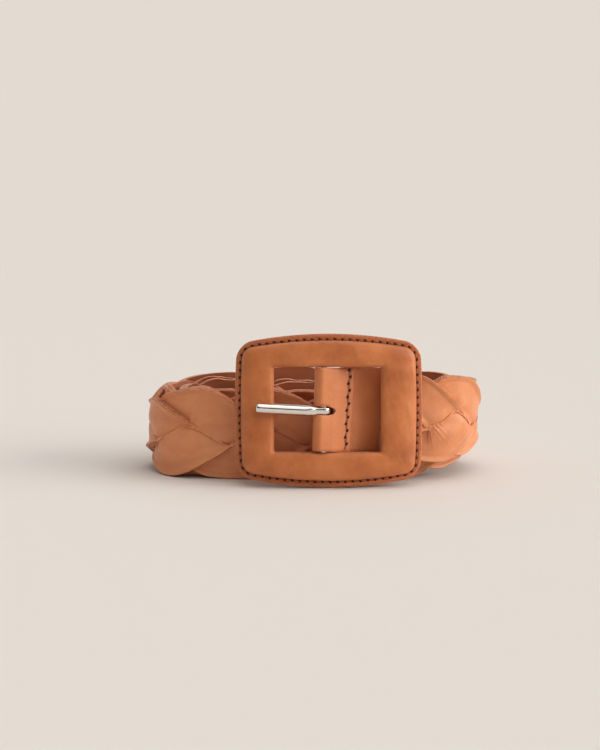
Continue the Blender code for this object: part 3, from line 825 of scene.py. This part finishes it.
def make_buckle_stitching(materials):
    """The stitches round the flange: in front at the foot of the padded face, and on the flat back."""
    ring = frame_outline(STITCH_INSET)
    ring = np.concatenate([ring, ring[:1]])
    rows = (
        ("buckle_rim_stitching", FACE_STITCH_HEIGHT, 1.0, "buckle_stitching"),
        ("buckle_back_stitching", BACK_STITCH_HEIGHT, -1.0, None),
    )
    for name, depth, out, node in rows:
        points = standing(bowed(ring[:, 0], ring[:, 1], depth))
        ups = standing(bowed(ring[:, 0], ring[:, 1], depth + out)) - points
        make_stitching(name, points, ups, STITCH_PITCH, "buckle", node, materials, skew=0.08)


# Prong, about the centre bar: x, y, z and half sizes from the tip to the neck, then its eye round the bar.
PRONG_SECTIONS = (
    (-28.62, -4.66, 1.46, 0.9, 0.9),
    (-28.52, -4.65, 1.45, 1.5, 1.5),
    (-28.25, -4.63, 1.43, 1.9, 1.9),
    (-27.8, -4.59, 1.4, 2.06, 2.06),
    (-26.0, -4.44, 1.3, 2.14, 2.14),
    (-19.0, -3.85, 0.9, 2.2, 2.2),
    (-12.0, -3.27, 0.5, 2.24, 2.24),
    (-8.6, -3.02, 0.32, 2.24, 2.24),
    (-6.6, -2.9, 0.22, 2.0, 2.15),
    (-5.0, -2.8, 0.14, 1.5, 1.9),
    (-3.6, -2.68, 0.06, 1.0, 1.62),
    (-2.4, -2.52, 0.0, 0.8, 1.45),
)
EYE_RADIUS = 2.4
EYE_HALF_THICK = 0.75
EYE_HALF_HEIGHT = 1.25
EYE_NECK_HEIGHT = 1.42
EYE_NARROWING = 50.0
EYE_TRAVEL = 245.0
EYE_STEPS = 22
PRONG_SIDES = 28
PRONG_HEAD = 4


def make_prong(metal):
    """The prong, round in section, narrowing to a flat strip that is curled round the bar."""
    stations = smooth_line(PRONG_SECTIONS, 70)
    head = list(PRONG_SECTIONS[:PRONG_HEAD])
    stations = head + [tuple(s) for s in stations if s[0] > head[-1][0] + 0.3]
    for step in range(EYE_STEPS):
        angle = math.radians(EYE_TRAVEL * step / (EYE_STEPS - 1))
        centre = (EYE_RADIUS * math.sin(angle), -EYE_RADIUS * math.cos(angle), 0.0)
        narrowing = min(EYE_TRAVEL * step / (EYE_STEPS - 1) / EYE_NARROWING, 1.0)
        height = EYE_NECK_HEIGHT + (EYE_HALF_HEIGHT - EYE_NECK_HEIGHT) * narrowing
        stations.append(centre + (EYE_HALF_THICK, height))
    stations = np.array(stations)
    heading = unit(np.gradient(stations[:, :3], axis=0))
    loops = []
    for station, along in zip(stations, heading):
        side = unit(np.cross([0.0, 0.0, 1.0], along))
        up = np.cross(along, side)
        squareness = smooth(station[0], -9.0, -4.0) if station[1] < 0 else 1.0
        angles = 2 * math.pi * (np.arange(PRONG_SIDES) + 0.5) / PRONG_SIDES
        power = 1.0 - 0.45 * float(squareness)
        across = np.sign(np.cos(angles)) * np.abs(np.cos(angles)) ** power
        rise = np.sign(np.sin(angles)) * np.abs(np.sin(angles)) ** power
        loops.append(station[:3] + station[3] * np.outer(across, side) + station[4] * np.outer(rise, up))
    verts = standing(np.concatenate(loops))
    obj = make_piece("nickel_prong", verts, facing_out(verts, tube_faces(len(loops), PRONG_SIDES)), [metal])
    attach(obj, "prong")
    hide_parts("prong")


# ---- strap and tabs

STRAP_HALF = 18.3
STRAP_THICK = 1.6
SLOT_HALF = 1.9
SLOT_TAPER = 1.5
SKIVE_FROM = 16.0
SKIVE_AFTER = 13.5
STRAP_FLARE = 1.3
FLARE_FROM = 5.0
FLARE_FULLY = 14.0
STRAP_TRIM = 1.2
FOLD_SHIFT = -1.2
FOLD_RADIUS = 2.52
STRAP_LINE = (
    (33.0, -1.85), (29.5, -1.85), (26.0, -1.85), (20.0, -1.45), (14.0, -0.95), (9.0, -0.95), (6.5, -1.6),
    (4.4, -2.3), (2.9, -2.52),
)
FRONT_LINE = ((2.9, 2.52), (4.4, 2.3), (6.5, 1.6), (9.0, 0.98), (11.0, 0.92), (12.3, 0.72))
SLOT_BACK = 5.0
SLOT_FRONT = 4.6
SLOT_FADE = 4.0
CHAPE_STITCH_U = 10.3
CHAPE_STITCH_PITCH = 2.75
TIP_STITCH_PITCH = 3.0
FACING_LINE = ((26.8, 1.55), (29.9, 1.62), (33.0, 1.5))
ANCHOR_STITCH_U = 29.6
PLY_THICK = 1.1
TAB_ROWS = (
    (13.8, 17.6, 1.55), (18.5, 17.6, 1.55), (23.6, 17.6, 1.5), (28.0, 17.6, 0.7), (33.0, 17.4, 0.7),
    (38.0, 15.6, 0.7), (42.0, 11.4, 0.7), (44.3, 5.6, 0.7), (44.8, 1.6, 0.7),
)


def chape_line(count):
    """The strap's line (u, w) from the plait to the bar, round it, and back to the end of its front leg."""
    line = list(STRAP_LINE)
    for step in range(1, 12):
        angle = math.radians(-90 - 15 * step)
        line.append((FOLD_SHIFT + FOLD_RADIUS * math.cos(angle), FOLD_RADIUS * math.sin(angle)))
    line += list(FRONT_LINE)
    return smooth_line(line, count)


def strip_mesh(name, line, columns, thick, materials, present=None, bend=None, skived=None):
    """Leather strip along a line of (u, w), with rounded cut edges and with missing cells where asked."""
    heading = unit(np.gradient(line, axis=0))
    normal = np.column_stack([-heading[:, 1], heading[:, 0]])
    lengths = line_lengths(line)
    place = lengths[:, None] + np.zeros(len(columns))[None, :]
    if bend is not None:
        place = bend(place, columns[None, :])
    u = np.interp(place, lengths, line[:, 0])
    w = np.interp(place, lengths, line[:, 1])
    nu = np.interp(place, lengths, normal[:, 0])
    nw = np.interp(place, lengths, normal[:, 1])
    v = np.broadcast_to(columns[None, :], u.shape)
    v = v * (1 + STRAP_FLARE / STRAP_HALF * smooth(u, FLARE_FROM, FLARE_FULLY) * (v > 0) * (w < 0))
    v = v * (1 - STRAP_TRIM / STRAP_HALF * (v < 0))
    layers = []
    for share, pull in ((0.5, 0.12), (0.36, 0.0), (-0.36, 0.0), (-0.5, 0.12)):
        inward = v * (1 - pull / STRAP_HALF)
        layers.append(np.stack([u + nu * thick * share, inward, w + nw * thick * share], axis=-1))
    rows, count = u.shape
    present = np.ones((rows - 1, count - 1), bool) if present is None else present
    verts = wound(np.stack(layers)).reshape(-1, 3)
    rest = np.stack(layers).copy()
    rest[..., 0] = place
    rest[..., 2] = np.array([1.0, 0.4, -0.4, -1.0])[:, None, None] * thick

    def index(layer, r, c):
        return (layer * rows + r) * count + c

    faces, part = [], []
    for r in range(rows - 1):
        for c in range(count - 1):
            if not present[r, c]:
                continue
            ring = [(r, c), (r, c + 1), (r + 1, c + 1), (r + 1, c)]
            faces.append([index(0, *p) for p in ring[::-1]])
            faces.append([index(3, *p) for p in ring])
            thinned = skived is not None and line[r, 0] > skived and r < rows / 2 and columns[c] > SKIVE_FROM
            part += [GRAIN_PART, EDGE_PART if thinned else GRAIN_PART]
            for side, (br, bc) in enumerate([(r - 1, c), (r, c + 1), (r + 1, c), (r, c - 1)]):
                inside = 0 <= br < rows - 1 and 0 <= bc < count - 1 and present[br, bc]
                if not inside:
                    a, b = ring[side], ring[(side + 1) % 4]
                    for k in range(3):
                        faces.append([index(k, *a), index(k, *b), index(k + 1, *b), index(k + 1, *a)])
                        part.append(EDGE_PART)
    used = sorted({i for f in faces for i in f})
    renumber = {old: new for new, old in enumerate(used)}
    faces = [tuple(renumber[i] for i in f) for f in faces]
    verts, rest = verts[used], rest.reshape(-1, 3)[used]
    return make_piece(name, verts, facing_out(verts, faces), materials, part, rest=rest)


def make_chape(leather_material, edge_material):
    """The strap that is folded round the bar, with the round-ended slot that the prong comes through."""
    line = chape_line(110)
    lengths = line_lengths(line)
    fold = lengths[int(np.argmin(line[:, 0]))]
    slot_low = fold - SLOT_BACK - 1.6
    slot_high = fold + SLOT_FRONT + 1.4
    inner = np.linspace(-SLOT_HALF, SLOT_HALF, 9)
    outer = np.linspace(SLOT_HALF, STRAP_HALF, 12)[1:]
    columns = np.concatenate([-outer[::-1], inner, outer])
    rows = (lengths[:-1] + lengths[1:]) / 2
    middles = (columns[:-1] + columns[1:]) / 2
    present = ~((np.abs(middles)[None, :] < SLOT_HALF) & ((rows > slot_low) & (rows < slot_high))[:, None])

    def round_slot_ends(place, v):
        bulge = SLOT_TAPER * np.sqrt(np.maximum(SLOT_HALF**2 - v**2, 0.0))
        for edge, side in ((slot_low, -1.0), (slot_high, 1.0)):
            away = side * (place - edge)
            place = place + side * bulge * np.exp(-np.maximum(away, 0.0) / SLOT_FADE) * (away > -1.0)
        return place

    obj = strip_mesh(
        "chape", line, columns, STRAP_THICK, [leather_material, edge_material], present, round_slot_ends,
        skived=SKIVE_AFTER,
    )
    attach(obj, "buckle_end")
    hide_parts("chape_strap")


def cross_row(u, w, half):
    """Points and outward directions of a straight row across the belt."""
    v = np.linspace(half, STRAP_TRIM - half, 24)
    flat = np.column_stack([np.full(24, u), v, np.full(24, w)])
    points = wound(flat)
    return points, wound(flat + np.array([0, 0, 1.0])) - points


def make_strap_details(leather_material, edge_material, stitch_materials):
    """The facing behind the buckle and the two rows of stitches across the strap."""
    line = smooth_line(FACING_LINE, 10)
    columns = np.linspace(-STRAP_HALF, STRAP_HALF, 24)
    obj = strip_mesh("strap_end_facing", line, columns, PLY_THICK, [leather_material, edge_material])
    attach(obj, "buckle_end")
    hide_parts("strap_facing")
    points, ups = cross_row(CHAPE_STITCH_U, 1.72, STRAP_HALF - 0.6)
    make_stitching(
        "chape_stitch_row", points, ups, CHAPE_STITCH_PITCH, "buckle_end", "chape_stitching",
        stitch_materials, 0.42, 0.64, 0.36,
    )
    points, ups = cross_row(ANCHOR_STITCH_U, 2.2, STRAP_HALF - 1.5)
    make_stitching(
        "anchor_stitch_row", points, ups, STITCH_PITCH, "buckle_end", "anchor_stitching",
        stitch_materials, 0.36, 0.42, 0.1,
    )


def make_tabs(leather_material, edge_material, stitch_materials):
    """The tapered leather tip: two plies that hold the ends of the plait, stitched round their edge."""
    rows = smooth_line(TAB_ROWS, 44)
    plait_end = float(loosened(PLAIT_CELLS * CELL))
    share = np.linspace(-1, 1, 23)
    for side, name, node in ((1, "tip_tab_front", "tip_tab_outer"), (-1, "tip_tab_back", "tip_tab_inner")):
        u = plait_end + rows[:, 0:1] + 0 * share
        flat = np.stack([u, rows[:, 1:2] * share, side * rows[:, 2:3] + 0 * share], axis=-1)
        middle = wound(flat)
        outward = unit(wound(flat + np.array([0, 0, 1.0])) - middle)
        thick = np.full(u.shape, PLY_THICK)
        edge = ((0.8, 0.08), (0.3, 0.14), (-0.3, 0.14), (-0.8, 0.08))
        obj = slab(name, middle, outward, thick, [leather_material, edge_material], flat, edge=edge)
        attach(obj, "coil")
        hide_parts(node)
    inset = rows[2:-3]
    upper = np.column_stack([plait_end + inset[:, 0], inset[:, 1] - 2.4, inset[:, 2] + PLY_THICK / 2 + 0.05])
    lower = (upper * np.array([1, -1, 1]))[::-1]
    flat = np.concatenate([upper, lower])
    points = wound(flat)
    ups = wound(flat + np.array([0, 0, 1.0])) - points
    make_stitching(
        "tip_stitches", points, ups, TIP_STITCH_PITCH, "coil", "tip_stitching", stitch_materials,
        0.33, 0.42, 0.05,
    )


# ---- materials


def linear(r, g, b):
    """Linear colour from the 0-255 values of a screen colour."""
    def one(x):
        x = x / 255
        return x / 12.92 if x <= 0.04045 else ((x + 0.055) / 1.055) ** 2.4
    return (one(r), one(g), one(b), 1.0)


class Nodes:
    """Short calls for building one material's node tree."""

    def __init__(self, name):
        self.material = bpy.data.materials.new(name)
        self.material.use_nodes = True
        self.tree = self.material.node_tree
        self.shader = self.tree.nodes["Principled BSDF"]

    def add(self, kind, **values):
        node = self.tree.nodes.new(kind)
        for key, value in values.items():
            if key in node.inputs:
                node.inputs[key].default_value = value
            else:
                setattr(node, key, value)
        return node

    def join(self, output, target):
        self.tree.links.new(output, target)

    def place(self, kept):
        """Where the pattern is read: the kept resting points, or the object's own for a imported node."""
        if kept:
            return self.add("ShaderNodeAttribute", attribute_name="rest").outputs["Vector"]
        scale = self.add("ShaderNodeVectorMath", operation="SCALE")
        scale.inputs["Scale"].default_value = 1000.0
        self.join(self.add("ShaderNodeTexCoord").outputs["Object"], scale.inputs[0])
        return scale.outputs[0]

    def noise(self, place, scale, detail=3.0, roughness=0.5):
        node = self.add("ShaderNodeTexNoise", Scale=scale, Detail=detail, Roughness=roughness)
        self.join(place, node.inputs["Vector"])
        return node.outputs["Fac"]

    def cells(self, place, scale):
        node = self.add("ShaderNodeTexVoronoi", Scale=scale, feature="F1")
        self.join(place, node.inputs["Vector"])
        return node.outputs["Distance"]

    def ramp(self, value, stops):
        node = self.add("ShaderNodeValToRGB")
        elements = node.color_ramp.elements
        while len(elements) < len(stops):
            elements.new(0.5)
        for element, (at, colour) in zip(elements, stops):
            element.position = at
            element.color = colour
        self.join(value, node.inputs["Fac"])
        return node.outputs["Color"]

    def range(self, value, low, high, to_low, to_high):
        node = self.add("ShaderNodeMapRange")
        for key, number in zip(("From Min", "From Max", "To Min", "To Max"), (low, high, to_low, to_high)):
            node.inputs[key].default_value = number
        self.join(value, node.inputs["Value"])
        return node.outputs["Result"]

    def bump(self, height, distance, strength=1.0, below=None):
        node = self.add("ShaderNodeBump")
        node.inputs["Strength"].default_value = strength
        node.inputs["Distance"].default_value = distance
        self.join(height, node.inputs["Height"])
        if below is not None:
            self.join(below, node.inputs["Normal"])
        return node.outputs["Normal"]

    def set(self, **values):
        for key, value in values.items():
            self.shader.inputs[key.replace("_", " ")].default_value = value


def leather(name, dark, middle, light, roughness=0.46, grain=0.05):
    """Smooth dyed leather: mottled colour, fine grain of small cells and pores, and a soft satin gloss."""
    m = Nodes(name)
    place = m.place(True)
    broad = m.noise(place, 0.08, 7.0, 0.62)
    m.join(m.ramp(broad, ((0.30, dark), (0.50, middle), (0.72, light))), m.shader.inputs["Base Color"])
    worn = m.noise(place, 0.35, 3.0)
    m.join(m.range(worn, 0.3, 0.7, roughness - 0.06, roughness + 0.08), m.shader.inputs["Roughness"])
    cells = m.bump(m.cells(place, 1.6), 0.00012, grain * 4)
    fine = m.bump(m.noise(place, 3.2, 4.0, 0.6), 0.00010, grain * 5, cells)
    folds = m.bump(m.noise(place, 0.35, 2.0), 0.0006, 0.25, fine)
    m.join(folds, m.shader.inputs["Normal"])
    m.set(Sheen_Weight=0.18, Sheen_Roughness=0.4, Specular_IOR_Level=0.42, Coat_Weight=0.0)
    return m.material


def suede(name, dark, middle, light):
    """Raw cut edge or flesh side of leather: rough, fibrous and slightly lighter."""
    m = Nodes(name)
    place = m.place(True)
    fibres = m.noise(place, 1.9, 5.0, 0.65)
    m.join(m.ramp(fibres, ((0.34, dark), (0.52, middle), (0.70, light))), m.shader.inputs["Base Color"])
    m.set(Roughness=0.92, Sheen_Weight=0.35, Sheen_Roughness=0.5, Specular_IOR_Level=0.2)
    coarse = m.bump(m.noise(place, 1.3, 4.0, 0.7), 0.0003, 0.45)
    m.join(m.bump(m.noise(place, 5.0, 3.0, 0.7), 0.0002, 0.6, coarse), m.shader.inputs["Normal"])
    return m.material


def nickel(name):
    """Polished nickel plate with faint fine scratches."""
    m = Nodes(name)
    place = m.place(True)
    m.set(Base_Color=(0.78, 0.75, 0.71, 1.0), Metallic=1.0)
    m.join(m.range(m.noise(place, 1.2, 4.0), 0.3, 0.7, 0.10, 0.17), m.shader.inputs["Roughness"])
    m.join(m.bump(m.noise(place, 2.6, 3.0), 0.00003, 0.12), m.shader.inputs["Normal"])
    return m.material


def packed_metal(name):
    """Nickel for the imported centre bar, read at its own place."""
    m = Nodes(name)
    m.set(Base_Color=(0.72, 0.70, 0.66, 1.0), Metallic=1.0)
    m.join(m.range(m.noise(m.place(False), 1.5, 3.0), 0.3, 0.7, 0.16, 0.26), m.shader.inputs["Roughness"])
    return m.material


def board(name):
    """Moulded core of the buckle, which the leather hides."""
    m = Nodes(name)
    place = m.place(False)
    colours = ((0.3, linear(96, 74, 56)), (0.7, linear(124, 98, 74)))
    m.join(m.ramp(m.noise(place, 0.8, 4.0), colours), m.shader.inputs["Base Color"])
    m.set(Roughness=0.85)
    return m.material


def thread(name, dark, light):
    """Waxed thread with a fine twist."""
    m = Nodes(name)
    place = m.place(True)
    m.join(m.ramp(m.noise(place, 4.0, 3.0), ((0.35, dark), (0.65, light))), m.shader.inputs["Base Color"])
    m.join(m.bump(m.noise(place, 6.0, 2.0), 0.0001, 0.5), m.shader.inputs["Normal"])
    m.set(Roughness=0.6, Sheen_Weight=0.2, Specular_IOR_Level=0.3)
    return m.material


PLAIT_LEATHER = leather("plait_leather", linear(204, 125, 79), linear(218, 139, 91), linear(230, 153, 106))
# Darker leather for the strands' inward faces: painted shade for the dark inside of the coil, not a different
# leather.
PLAIT_INNER_SHADE = leather("plait_inner_painted_shade", linear(142, 78, 46), linear(156, 88, 54), linear(172, 100, 64), 0.6)
PLAIT_SUEDE = suede("plait_suede", linear(158, 88, 52), linear(198, 120, 78), linear(220, 148, 106))
BUCKLE_LEATHER = leather("buckle_leather", linear(174, 95, 48), linear(192, 109, 57), linear(206, 124, 70))
BUCKLE_SUEDE = suede("buckle_suede", linear(150, 82, 50), linear(190, 112, 74), linear(212, 140, 100))
STRAP_LEATHER = leather(
    "strap_leather", linear(196, 114, 67), linear(206, 123, 73), linear(216, 134, 84), 0.42,
)
NICKEL = nickel("polished_nickel")
STITCH = (
    thread("thread", linear(158, 86, 50), linear(190, 112, 70)),
    # The second material is painted shade: near-black colour for the dark insides of the stitch holes.
    thread("stitch_hole_shade", linear(44, 18, 10), linear(70, 30, 16)),
)

make_strands([PLAIT_LEATHER, PLAIT_SUEDE, PLAIT_INNER_SHADE])
make_pad(BUCKLE_LEATHER, BUCKLE_SUEDE)
make_back(BUCKLE_LEATHER, BUCKLE_SUEDE)
make_buckle_stitching(STITCH)
make_prong(NICKEL)
make_chape(STRAP_LEATHER, PLAIT_SUEDE)
make_strap_details(STRAP_LEATHER, PLAIT_SUEDE, STITCH)
make_tabs(STRAP_LEATHER, PLAIT_SUEDE, STITCH)

packed_materials = {"buckle_core": board("core_board"), "centre_bar": packed_metal("bar_nickel")}
for node, material in packed_materials.items():
    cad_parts[node].data.materials.clear()
    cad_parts[node].data.materials.append(material)


# ---- stage


FLOOR_COLOUR = (0.74, 0.69, 0.64, 1.0)
PAPER_GLOW = linear(227, 218, 209)
GLOW_FROM = 0.35
GLOW_TO = 1.1
FLOOR_RADIUS = 3.0
WALL_HEIGHT = 0.5

# Surroundings: how far towards the dark part, as a dot product, and the colour there.
DARK_TOWARDS = (0.0, -0.84, 0.54)
SURROUNDINGS = ((0.66, (0.50, 0.495, 0.49, 1.0)), (0.74, (0.02, 0.018, 0.016, 1.0)))

# Lights: name, where it comes from, strength, spread.
LIGHTS = (("key", (0.38, -0.26, 0.89), 1.68, 84.0), ("side", (0.96, -0.24, 0.14), 3.9, 50.0))
LIGHT_COLOUR = (1.0, 0.985, 0.965)


def paper():
    """Pale paper that takes shadows by the object and is evenly lit farther off."""
    m = Nodes("paper")
    m.set(Base_Color=FLOOR_COLOUR, Roughness=0.9, Specular_IOR_Level=0.1)
    glow = m.add("ShaderNodeEmission", Color=PAPER_GLOW, Strength=1.0)
    far = m.add("ShaderNodeVectorMath", operation="LENGTH")
    m.join(m.add("ShaderNodeTexCoord").outputs["Object"], far.inputs[0])
    mix = m.add("ShaderNodeMixShader")
    m.join(m.range(far.outputs["Value"], GLOW_FROM, GLOW_TO, 0.0, 1.0), mix.inputs["Fac"])
    m.join(m.shader.outputs["BSDF"], mix.inputs[1])
    m.join(glow.outputs["Emission"], mix.inputs[2])
    m.join(mix.outputs["Shader"], m.tree.nodes["Material Output"].inputs["Surface"])
    return m.material


def make_stage():
    """Pale floor that curves up all round into a backdrop."""
    reach = [0.5, 1.0, 2.0, FLOOR_RADIUS]
    rise = [0.0] * len(reach)
    for angle in np.linspace(0.1, math.pi / 2, 12):
        reach.append(FLOOR_RADIUS + WALL_HEIGHT * math.sin(angle))
        rise.append(WALL_HEIGHT - WALL_HEIGHT * math.cos(angle))
    sides = 48
    turned = [2 * math.pi * k / sides for k in range(sides)]
    verts = [(r * math.cos(a), r * math.sin(a), z) for r, z in zip(reach, rise) for a in turned]
    faces = [tuple(range(sides))]
    for i in range(len(reach) - 1):
        a, b = i * sides, (i + 1) * sides
        faces += [(a + k, b + k, b + (k + 1) % sides, a + (k + 1) % sides) for k in range(sides)]
    mesh = bpy.data.meshes.new("backdrop")
    mesh.from_pydata(verts, [], faces)
    mesh.materials.append(paper())
    mesh.polygons.foreach_set("use_smooth", [True] * len(mesh.polygons))
    backdrop = bpy.data.objects.new("backdrop", mesh)
    bpy.context.scene.collection.objects.link(backdrop)


def soft_sun(name, towards, power, spread):
    """Distant soft light that shines from the given direction, with its spread in degrees."""
    data = bpy.data.lights.new(name, "SUN")
    data.energy = power
    data.angle = math.radians(spread)
    data.color = LIGHT_COLOUR
    light = bpy.data.objects.new(name, data)
    light.rotation_euler = Vector(towards).to_track_quat("Z", "Y").to_euler()
    bpy.context.scene.collection.objects.link(light)


def make_world():
    """Pale surroundings with a darker part high in front, which the polished metal reflects."""
    world = bpy.data.worlds.new("surroundings")
    world.use_nodes = True
    tree = world.node_tree
    background = tree.nodes["Background"]
    direction = tree.nodes.new("ShaderNodeTexCoord").outputs["Generated"]
    dot = tree.nodes.new("ShaderNodeVectorMath")
    dot.operation = "DOT_PRODUCT"
    dot.inputs[1].default_value = DARK_TOWARDS
    tree.links.new(direction, dot.inputs[0])
    ramp = tree.nodes.new("ShaderNodeValToRGB")
    for element, (place, colour) in zip(ramp.color_ramp.elements, SURROUNDINGS):
        element.position = place
        element.color = colour
    tree.links.new(dot.outputs["Value"], ramp.inputs["Fac"])
    tree.links.new(ramp.outputs["Color"], background.inputs["Color"])
    bpy.context.scene.world = world


CAMERA_AIM = (BAR[0] - 10.06, BAR[1] - 1.6, 48.3)
CAMERA_DISTANCE = 745.0
CAMERA_RISE = math.radians(9.0)


def make_camera():
    """Camera in front of the buckle, a little above it."""
    data = bpy.data.cameras.new("camera")
    data.lens = 85.0
    data.sensor_width = 36.0
    camera = bpy.data.objects.new("camera", data)
    aim = np.array(CAMERA_AIM)
    back = np.array([0.0, -math.cos(CAMERA_RISE), math.sin(CAMERA_RISE)])
    camera.location = (aim + back * CAMERA_DISTANCE) * MM
    camera.rotation_euler = (math.pi / 2 - CAMERA_RISE, 0.0, 0.0)
    bpy.context.scene.collection.objects.link(camera)
    bpy.context.scene.camera = camera


make_stage()
make_world()
for light in LIGHTS:
    soft_sun(*light)
make_camera()
bpy.context.scene.view_settings.view_transform = "Standard"
